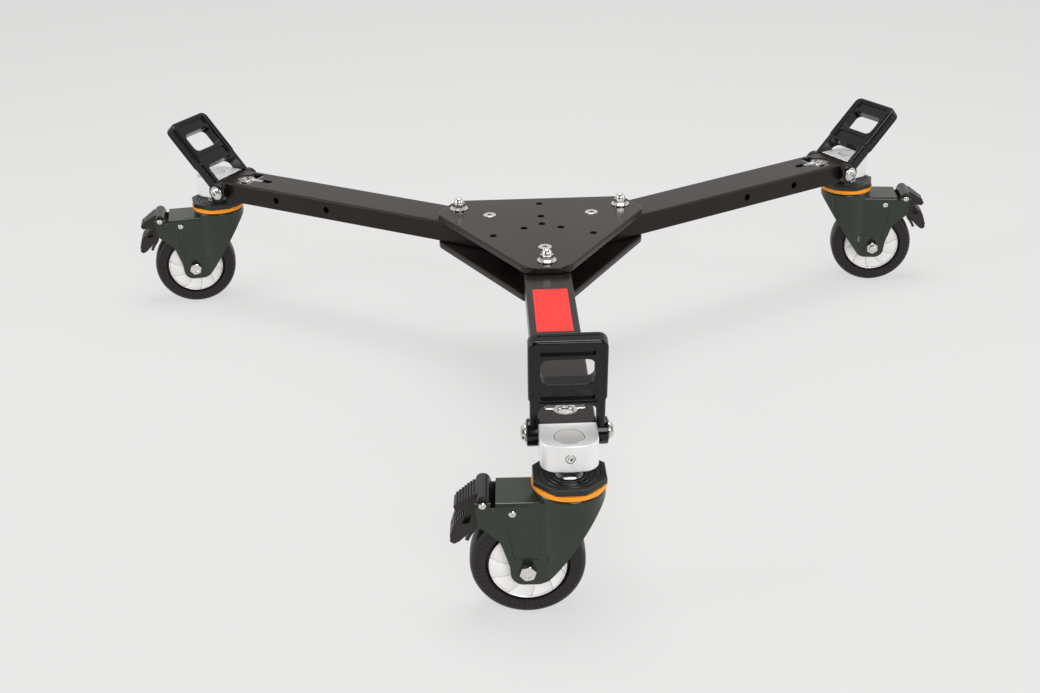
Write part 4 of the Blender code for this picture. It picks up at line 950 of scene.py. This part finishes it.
def swivel_cap():
    """Eight-sided cover with three ribs in its dish."""
    cap = Blank(slab(regular_corners(2 * CROWN_R, 8), CAP_LOW, CAP_TOP, "Z", 0.0008, 3))
    floor, edge = CAP_TOP - 0.003, CROWN_R - 0.0043
    profile = [(0, floor), (0.0125, floor), (0.0130, floor + 0.0009), (0.0142, floor + 0.0009),
               (0.0148, floor + 0.0001), (0.0172, floor + 0.0001), (0.0179, floor + 0.0014),
               (0.0191, floor + 0.0014), (0.0197, floor + 0.0004), (0.0218, floor + 0.0006),
               (0.0225, floor + 0.0020), (0.0238, floor + 0.0020), (0.0244, floor + 0.0011),
               (0.0262, floor + 0.0014), (edge, CAP_TOP), (edge, CAP_TOP + 0.001), (0, CAP_TOP + 0.001)]
    cap.cut(lathe(profile, segments=72))
    cap.cut(drill(KINGPIN_HOLE_R, CAP_LOW, floor, lip=0.0002))
    return soften(cap.take(), 0.0002, 2, 35.0, above(floor - 0.0001))


def dust_seal():
    rim, lip = CROWN_R + 0.0013, 0.0011
    return lathe([(0.020, SEAL_LOW), (rim - lip, SEAL_LOW), (rim - lip * 0.35, SEAL_LOW + lip * 0.35),
                  (rim, SEAL_LOW + lip), (rim, SEAL_TOP - lip), (rim - lip * 0.35, SEAL_TOP - lip * 0.35),
                  (rim - lip, SEAL_TOP), (0.020, SEAL_TOP)], segments=96)


# Fork

def fork_profile():
    """Side outline of the pressed legs, ears and crown."""
    ear_x, ear_z = BRAKE_AT
    foot, over, front, notch = WHEEL_R - 0.0145, CROWN_TOP + 0.002, -CROWN_R - 0.002, ear_z - 0.004
    return [(front, over, 0), (front, CROWN_TOP - 0.0052, 0), (-CROWN_R + 0.0069, CROWN_TOP - 0.0172, 0.03),
            (TRAIL - 0.015, foot, 0.0115), (TRAIL + 0.014, foot, 0.0115),
            (TRAIL + 0.0158, WHEEL_R + 0.006, 0.020), (TRAIL + 0.0235, ear_z - 0.0373, 0.015),
            (ear_x + 0.0045, ear_z - 0.0208, 0.008), (ear_x + EAR_R, ear_z + EAR_R, EAR_R * 0.92),
            (ear_x - EAR_R + 0.0004, ear_z + EAR_R, EAR_R * 0.85), (ear_x - EAR_R + 0.0004, notch, 0.001),
            (PANEL_END, notch, 0.001), (PANEL_END, over, 0)]


def fork():
    """Pressed-steel fork: a round crown, a rear panel bent into two legs, and two ears."""
    rear, low = BRAKE_AT[0] + EAR_R + 0.004, WHEEL_R - 0.0245
    section = [(-FORK_HALF_W, low, 0), (FORK_HALF_W, low, 0), (FORK_HALF_W, PANEL_TOP, 0.0034),
               (-FORK_HALF_W, PANEL_TOP, 0.0034)]
    crown = rod(CROWN_R, low, CROWN_TOP, segments=96)
    shell = Blank(soften(crown, 0.0030, 5, 60.0, above(CROWN_TOP - 1e-6)))
    shell.join(slab(section, 0.0, rear, "X", arc_steps=6))
    # Hollow blends between the crown and the legs; they lap a little over both.
    sweep, skin, lap = 0.0090, 0.00008, math.radians(7)
    hollow_y = FORK_HALF_W + sweep
    hollow_x = math.sqrt((CROWN_R + sweep) ** 2 - hollow_y ** 2)
    first = math.atan2(-hollow_y, -hollow_x) - lap
    blend = [(hollow_x + 0.0012, FORK_HALF_W - 0.004, 0.0), (0.012, FORK_HALF_W - 0.004, 0.0)]
    for step in range(13):
        angle = first + (-math.pi / 2 + lap - first) * step / 12
        blend.append((hollow_x + (sweep + skin) * math.cos(angle),
                      hollow_y + (sweep + skin) * math.sin(angle), 0.0))
    shell.join(both_sides(slab(blend, low + 0.001, PANEL_TOP - 0.0024, "Z")))
    ceiling = PANEL_TOP - FORK_T
    cavity = Blank(rod(CROWN_R - FORK_T, low - 0.002, ceiling, segments=72))
    cavity.join(slab([(-FORK_IN, low - 0.002, 0), (FORK_IN, low - 0.002, 0), (FORK_IN, ceiling, 0.0012),
                      (-FORK_IN, ceiling, 0.0012)], 0.0, rear + 0.004, "X", arc_steps=4))
    shell.cut(cavity.take())
    shell.cut(rod(CROWN_R - 0.006, ceiling - 0.002, CROWN_TOP - FORK_T, segments=56))
    shell.cut(slab(box_corners(PANEL_END, rear + 0.004, -FORK_IN, FORK_IN, 0.001), ceiling - 0.010,
                   CROWN_TOP + 0.002))
    shell.keep(slab(fork_profile(), -CROWN_R - 0.005, CROWN_R + 0.005, "Y", arc_steps=12))
    shell.cut(drill(AXLE_R + GAP, -FORK_HALF_W, FORK_HALF_W, "Y", (TRAIL, WHEEL_R)))
    shell.cut(drill(BRAKE_HOLE_R, -FORK_HALF_W, FORK_HALF_W, "Y", BRAKE_AT))
    shell.cut(drill(KINGPIN_HOLE_R, CROWN_TOP - FORK_T, CROWN_TOP))
    shell = Blank(soften(shell.take(), 0.0005, 2, 60.0, lambda e: min(
        abs(v.co.y) for v in e.verts) > FORK_IN - 0.0002))
    top = STOP_RIVET_AT[1] - 0.0085
    recess = [(TRAIL + 0.0183, top - 0.0015, 0.003), (TRAIL + 0.0115, WHEEL_R + 0.011, 0.004),
              (TRAIL - 0.0125, WHEEL_R + 0.011, 0.004), (TRAIL - 0.0105, top, 0.003)]
    shell.cut(both_sides(slab(recess, FORK_HALF_W - 0.0011, FORK_HALF_W + 0.002, "Y", 0.0008, 3, 6)))
    shell = Blank(soften(shell.take(), 0.0005, 3, 40.0, lambda e: all(
        abs(v.co.y) > FORK_HALF_W - 0.00002 and TRAIL - 0.014 < v.co.x < TRAIL + 0.0195
        and WHEEL_R + 0.0105 < v.co.z < top + 0.0005 for v in e.verts)))
    notch = box_corners(TRAIL - 0.0042, TRAIL + 0.0042, WHEEL_R + 0.004, WHEEL_R + 0.0132, 0.0020)
    shell.cut(both_sides(slab(notch, FORK_HALF_W - 0.0021, FORK_HALF_W + 0.002, "Y", 0.0003, 2, 6)))
    return shell.take()


def rivet_side(seat, radius=0.0):
    """Outline of a round head with a dimple, from its rim to the axis."""
    head_r = RIVET_HEAD_R
    return [(radius, seat), (head_r - 0.0002, seat), (head_r, seat + 0.0002), (head_r, seat + 0.0007),
            (head_r - 0.0006, seat + 0.0013), (head_r - 0.0014, seat + 0.0015),
            (0.0011, seat + 0.0013), (0.0007, seat + 0.0004), (0, seat + 0.0003)]


def brake_pin():
    return lathe(both_ends(rivet_side(FORK_HALF_W + GAP, BRAKE_PIN_R)), "Y", segments=40)


def stop_rivet():
    """Bright heads over the rivet that stops the pedal."""
    return both_sides(lathe(rivet_side(FORK_HALF_W + 0.0002), "Y", STOP_RIVET_AT, 40))


# Wheel, round the axle axis (Y)

def tyre():
    """Solid tyre: flat tread, round shoulders and a stepped side wall."""
    half, inner = TYRE_HALF_W, TYRE_INNER_R
    side = [(inner, half - 0.0030), (inner + 0.0006, half - 0.0012), (inner + 0.0014, half - 0.0003),
            (inner + 0.0026, half), (0.0448, half - 0.0002), (0.0462, half - 0.0005),
            (0.0478, half - 0.0014), (0.0493, half - 0.0030), (0.0503, half - 0.0052),
            (0.0508, half - 0.0078), (WHEEL_R, half - 0.0110)]
    return lathe(both_ends(side[::-1]), "Y", segments=128)


def petal_rib(turn):
    """A thin raised line that bows sideways from hub to rim."""
    start, width, bow = HUB_R, 0.0005, 0.032
    bm = bmesh.new()
    ends = [bm.verts.new((start, 0.0, side * width)) for side in (-0.5, 0.5)]
    bm.edges.new(ends)
    bmesh.ops.spin(bm, geom=bm.verts[:] + bm.edges[:], cent=(start, 0.0, bow), axis=(0, -1, 0),
                   angle=math.asin(0.0228 / bow), steps=10, use_merge=False, use_duplicate=False)
    grown = bmesh.ops.extrude_face_region(bm, geom=bm.faces[:])
    far = [item for item in grown["geom"] if isinstance(item, bmesh.types.BMVert)]
    bmesh.ops.translate(bm, verts=bm.verts, vec=(0, TYRE_HALF_W - 0.0036, 0))
    bmesh.ops.translate(bm, verts=far, vec=(0, 0.0016, 0))
    bmesh.ops.recalc_face_normals(bm, faces=bm.faces)
    bmesh.ops.rotate(bm, verts=bm.verts, matrix=Matrix.Rotation(turn, 3, "Y"))
    return bm


def wheel_core():
    """Moulded centre: hub, web with bowed lines, and a raised lip inside the tyre."""
    web, rim = TYRE_HALF_W - 0.0026, TYRE_INNER_R - GAP
    side = [(AXLE_R + 0.0003, FORK_IN - GAP), (HUB_R - 0.0005, FORK_IN - GAP), (HUB_R, FORK_IN - 0.0008),
            (0.0112, web + 0.0006), (0.0122, web), (0.0300, web), (0.0322, web + 0.0004),
            (0.0332, web + 0.0016), (0.0338, web + 0.0018), (0.0343, web + 0.0015),
            (PETAL_END_R, web - 0.0012), (0.0347, web - 0.0020), (rim, web - 0.0020)]
    core = Blank(lathe(both_ends(side[::-1]), "Y", segments=96))
    ribs = [petal_rib(math.tau * k / PETALS) for k in range(PETALS)]
    core.join(both_sides(together(*ribs)))
    return core.take()


def axle_bolt():
    seat = FORK_HALF_W + GAP
    end = FORK_HALF_W + 2 * GAP + AXLE_NUT_H + AXLE_END
    bolt = hexagon_with_worn_corners(AXLE_HEX, seat, seat + AXLE_HEAD_H, "Y", 0.3)
    bolt.join(lathe([(0, -end), (AXLE_R - 0.0006, -end), (AXLE_R, -end + 0.0006), (AXLE_R, seat + 0.002),
                     (0, seat + 0.002)], "Y", segments=32))
    bolt.cut(lathe([(0, seat + 0.0051), (0.0036, seat + 0.0051), (0.0043, seat + 0.0058),
                    (0, seat + 0.0058)], "Y", segments=40))
    return bolt.take()


def axle_nut():
    seat = FORK_HALF_W + GAP
    nut = hexagon_with_worn_corners(AXLE_HEX, -seat - AXLE_NUT_H, -seat, "Y", 0.1)
    nut.cut(drill(AXLE_R + GAP, -seat - AXLE_NUT_H, -seat, "Y"))
    return nut.take()


# Brake, round the pedal's pivot (Y)

def toothed(start, end, teeth, height):
    """Corners of square teeth standing to the left of the way from start to end."""
    start, end = Vector(start), Vector(end)
    along = end - start
    out = Vector((-along.y, along.x)).normalized() * height
    corners = []
    for k in range(teeth):
        rise, fall = (k + 0.2) / teeth, (k + 0.75) / teeth
        for point in (start + along * rise, start + along * rise + out, start + along * fall + out,
                      start + along * fall):
            corners.append((point.x, point.y, 0.0))
    return corners


def brake_pedal():
    """Nylon pedal: barrel, toothed upper tread, serrated paddle and the shoe finger."""
    px, pz = BRAKE_AT
    outline = [(0.001, 0.0063, 0), (0.0062, 0.0050, 0)]
    outline += toothed((0.0066, 0.0046), (0.0235, -0.0070), 7, 0.0009)
    outline += [(0.0258, -0.0098, 0.002), (0.0236, -0.0138, 0.002), (0.0160, -0.0122, 0.001),
                (0.0128, -0.0128, 0.0005)]
    outline += toothed((0.0142, -0.0148), (0.0242, -0.0245), 5, 0.0008)
    outline += toothed((0.0246, -0.0252), (0.0290, -0.0390), 5, 0.0008)
    outline += [(0.0296, -0.0422, 0.001), (0.0262, -0.0452, 0.002), (0.0212, -0.0425, 0.002),
                (0.0045, -0.0262, 0.004), (-0.0008, -0.0190, 0.003), (-0.002, -0.0060, 0)]
    body = slab(outline, -PEDAL_HALF_W, PEDAL_HALF_W, "Y", arc_steps=5)
    for vert in body.verts:
        if vert.co.x > 0.012 and vert.co.z > -0.0144:
            vert.co.y *= 1 - 0.35 * (vert.co.x - 0.012) / 0.014
    pedal = Blank(body)
    pocket = [(0.0095, -0.0135, 0.001), (0.0148, -0.0165, 0.001), (0.0192, -0.0250, 0.001),
              (0.0120, -0.0240, 0.001)]
    pedal.cut(both_sides(slab(pocket, PEDAL_HALF_W - 0.005, PEDAL_HALF_W + 0.001, "Y", arc_steps=4)))
    row = [(0.0138, -0.0150, 0.0), (0.0240, -0.0252, 0.0), (0.0286, -0.0394, 0.0), (0.0305, -0.0388, 0.0),
           (0.0260, -0.0240, 0.0), (0.0152, -0.0136, 0.0)]
    pedal.cut(together(*[slab(row, at - 0.0007, at + 0.0007, "Y") for at in (-0.0042, 0.0042)]))
    barrel = FORK_IN - GAP
    pedal.join(lathe([(0, -barrel), (BARREL_R - 0.0005, -barrel), (BARREL_R, -barrel + 0.0005),
                      (BARREL_R, barrel - 0.0005), (BARREL_R - 0.0005, barrel), (0, barrel)], "Y",
                     segments=56))

    middle = Vector((TRAIL - px, WHEEL_R - pz))

    def round_tyre(angle, beyond):
        point = middle + Vector(on_heading(1.0, angle)) * (WHEEL_R + beyond)
        return (point.x, point.y, 0)

    finger = [round_tyre(angle, SHOE_FACE) for angle in SHOE_ARC]
    finger += [(-0.0035, -0.004, 0), (0.0045, -0.004, 0)]
    finger += [round_tyre(angle, SHOE_BACK) for angle in reversed(SHOE_ARC[:3])]
    pedal.join(slab(finger, -SHOE_HALF_W, SHOE_HALF_W, "Y"))
    pedal.cut(drill(BRAKE_HOLE_R, -barrel, barrel, "Y"))
    return soften(pedal.take(), 0.00035, 2, 50.0)


# Plain red label on the front arm

def label():
    return slab(box_corners(*LABEL_ENDS, -LABEL_HALF_W, LABEL_HALF_W, 0.0008), TUBE_TOP,
                TUBE_TOP + LABEL_T, arc_steps=4)


# Name of the piece: maker, finish, frame it is drawn in, body it rides on
PIECES = {
    "arm_bolt": (arm_bolt, "zinc", "stud", "frame"),
    "dome_nut": (dome_nut, "zinc", "stud", "frame"),
    "plate_screw": (plate_screw, "zinc", "screw", "frame"),
    "arm_tube": (arm_tube, "arm_black", "arm", "frame"),
    "caster_block": (caster_block, "block_alloy", "arm", "frame"),
    "set_screw": (set_screw, "zinc", "arm", "frame"),
    "foot_seat": (foot_seat, "seat_alloy", "arm", "frame"),
    "foot_lever": (foot_lever, "lever_black", "clamp", "{leg}_clamp"),
    "lever_bolt": (lever_bolt, "zinc", "hinge", "frame"),
    "swivel_stem": (swivel_stem, "stem_chrome", "stem", "frame"),
    "swivel_cap": (swivel_cap, "cap_black", "stem", "frame"),
    "dust_seal": (dust_seal, "seal_orange", "caster", "{leg}_caster"),
    "fork": (fork, "fork_green", "caster", "{leg}_caster"),
    "stop_rivet": (stop_rivet, "zinc", "caster", "{leg}_caster"),
    "tyre": (tyre, "tyre_rubber", "wheel", "{leg}_wheel"),
    "wheel_core": (wheel_core, "hub_silver", "wheel", "{leg}_wheel"),
    "axle_bolt": (axle_bolt, "zinc", "wheel", "{leg}_caster"),
    "axle_nut": (axle_nut, "zinc", "wheel", "{leg}_caster"),
    "brake_pedal": (brake_pedal, "pedal_nylon", "pedal", "{leg}_pedal"),
    "brake_pin": (brake_pin, "zinc", "pedal", "{leg}_caster"),
}


def frames_of(leg):
    """Where each of a leg's own frames stands in the scene."""
    arm, caster = arm_frame(leg), caster_frame(leg)
    low, high = JOINTS[f"{leg}_clamp_hinge"]["range_deg"]
    hinge = arm @ Matrix.Translation((HINGE_AT, 0, HINGE_Z))
    return {
        "arm": arm,
        "stud": arm @ Matrix.Translation((STUD_AT, 0, 0)),
        "screw": arm @ Matrix.Translation((SCREW_AT, 0, 0)),
        "hinge": hinge,
        "clamp": hinge @ Matrix.Rotation(math.radians(-(low + high) / 2), 4, "Y"),
        "stem": arm @ Matrix.Translation((STEM_AT, 0, 0)),
        "caster": caster,
        "wheel": caster @ Matrix.Translation((TRAIL, 0, WHEEL_R)),
        "pedal": caster @ Matrix.Translation((BRAKE_AT[0], 0, BRAKE_AT[1])),
    }


def settle(bm, finish):
    """A mesh that keeps each point's place in the piece's own frame."""
    mesh = mesh_of(bm, "piece")
    own = mesh.attributes.new("own_place", "FLOAT_VECTOR", "POINT")
    places = [value for vert in mesh.vertices for value in vert.co]
    own.data.foreach_set("vector", places)
    mesh.materials.append(FINISHES[finish])
    mesh.shade_smooth()
    mesh.set_sharp_from_angle(angle=math.radians(SHARP_OVER))
    return mesh


def put(name, mesh, place, body, node=None):
    mesh = mesh.copy()
    mesh.name = name
    mesh.transform(place)
    item = add_object(name, mesh)
    even = item.modifiers.new("even_shading", "WEIGHTED_NORMAL")
    even.keep_sharp = True
    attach(item, body)
    if node:
        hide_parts(node)


def build_dolly():
    middle = Matrix.Translation(CENTRE)
    for name, maker in (("top_plate", top_plate), ("bottom_plate", bottom_plate)):
        put(f"{name}_fine", settle(maker(), "plate_black"), middle, "frame", name)
    put("front_arm_label", settle(label(), "label_red"), arm_frame("front"), "frame")
    places = {leg: frames_of(leg) for leg in LEGS}
    for piece, (maker, finish, own_frame, body) in PIECES.items():
        mesh = settle(maker(), finish)
        for leg in LEGS:
            node = f"{leg}_{piece}"
            put(f"{node}_fine", mesh, places[leg][own_frame], body.format(leg=leg),
                node if node in NODES else None)


make_camera()
make_studio()
build_dolly()

settings = bpy.context.scene.view_settings
settings.view_transform = "Standard"
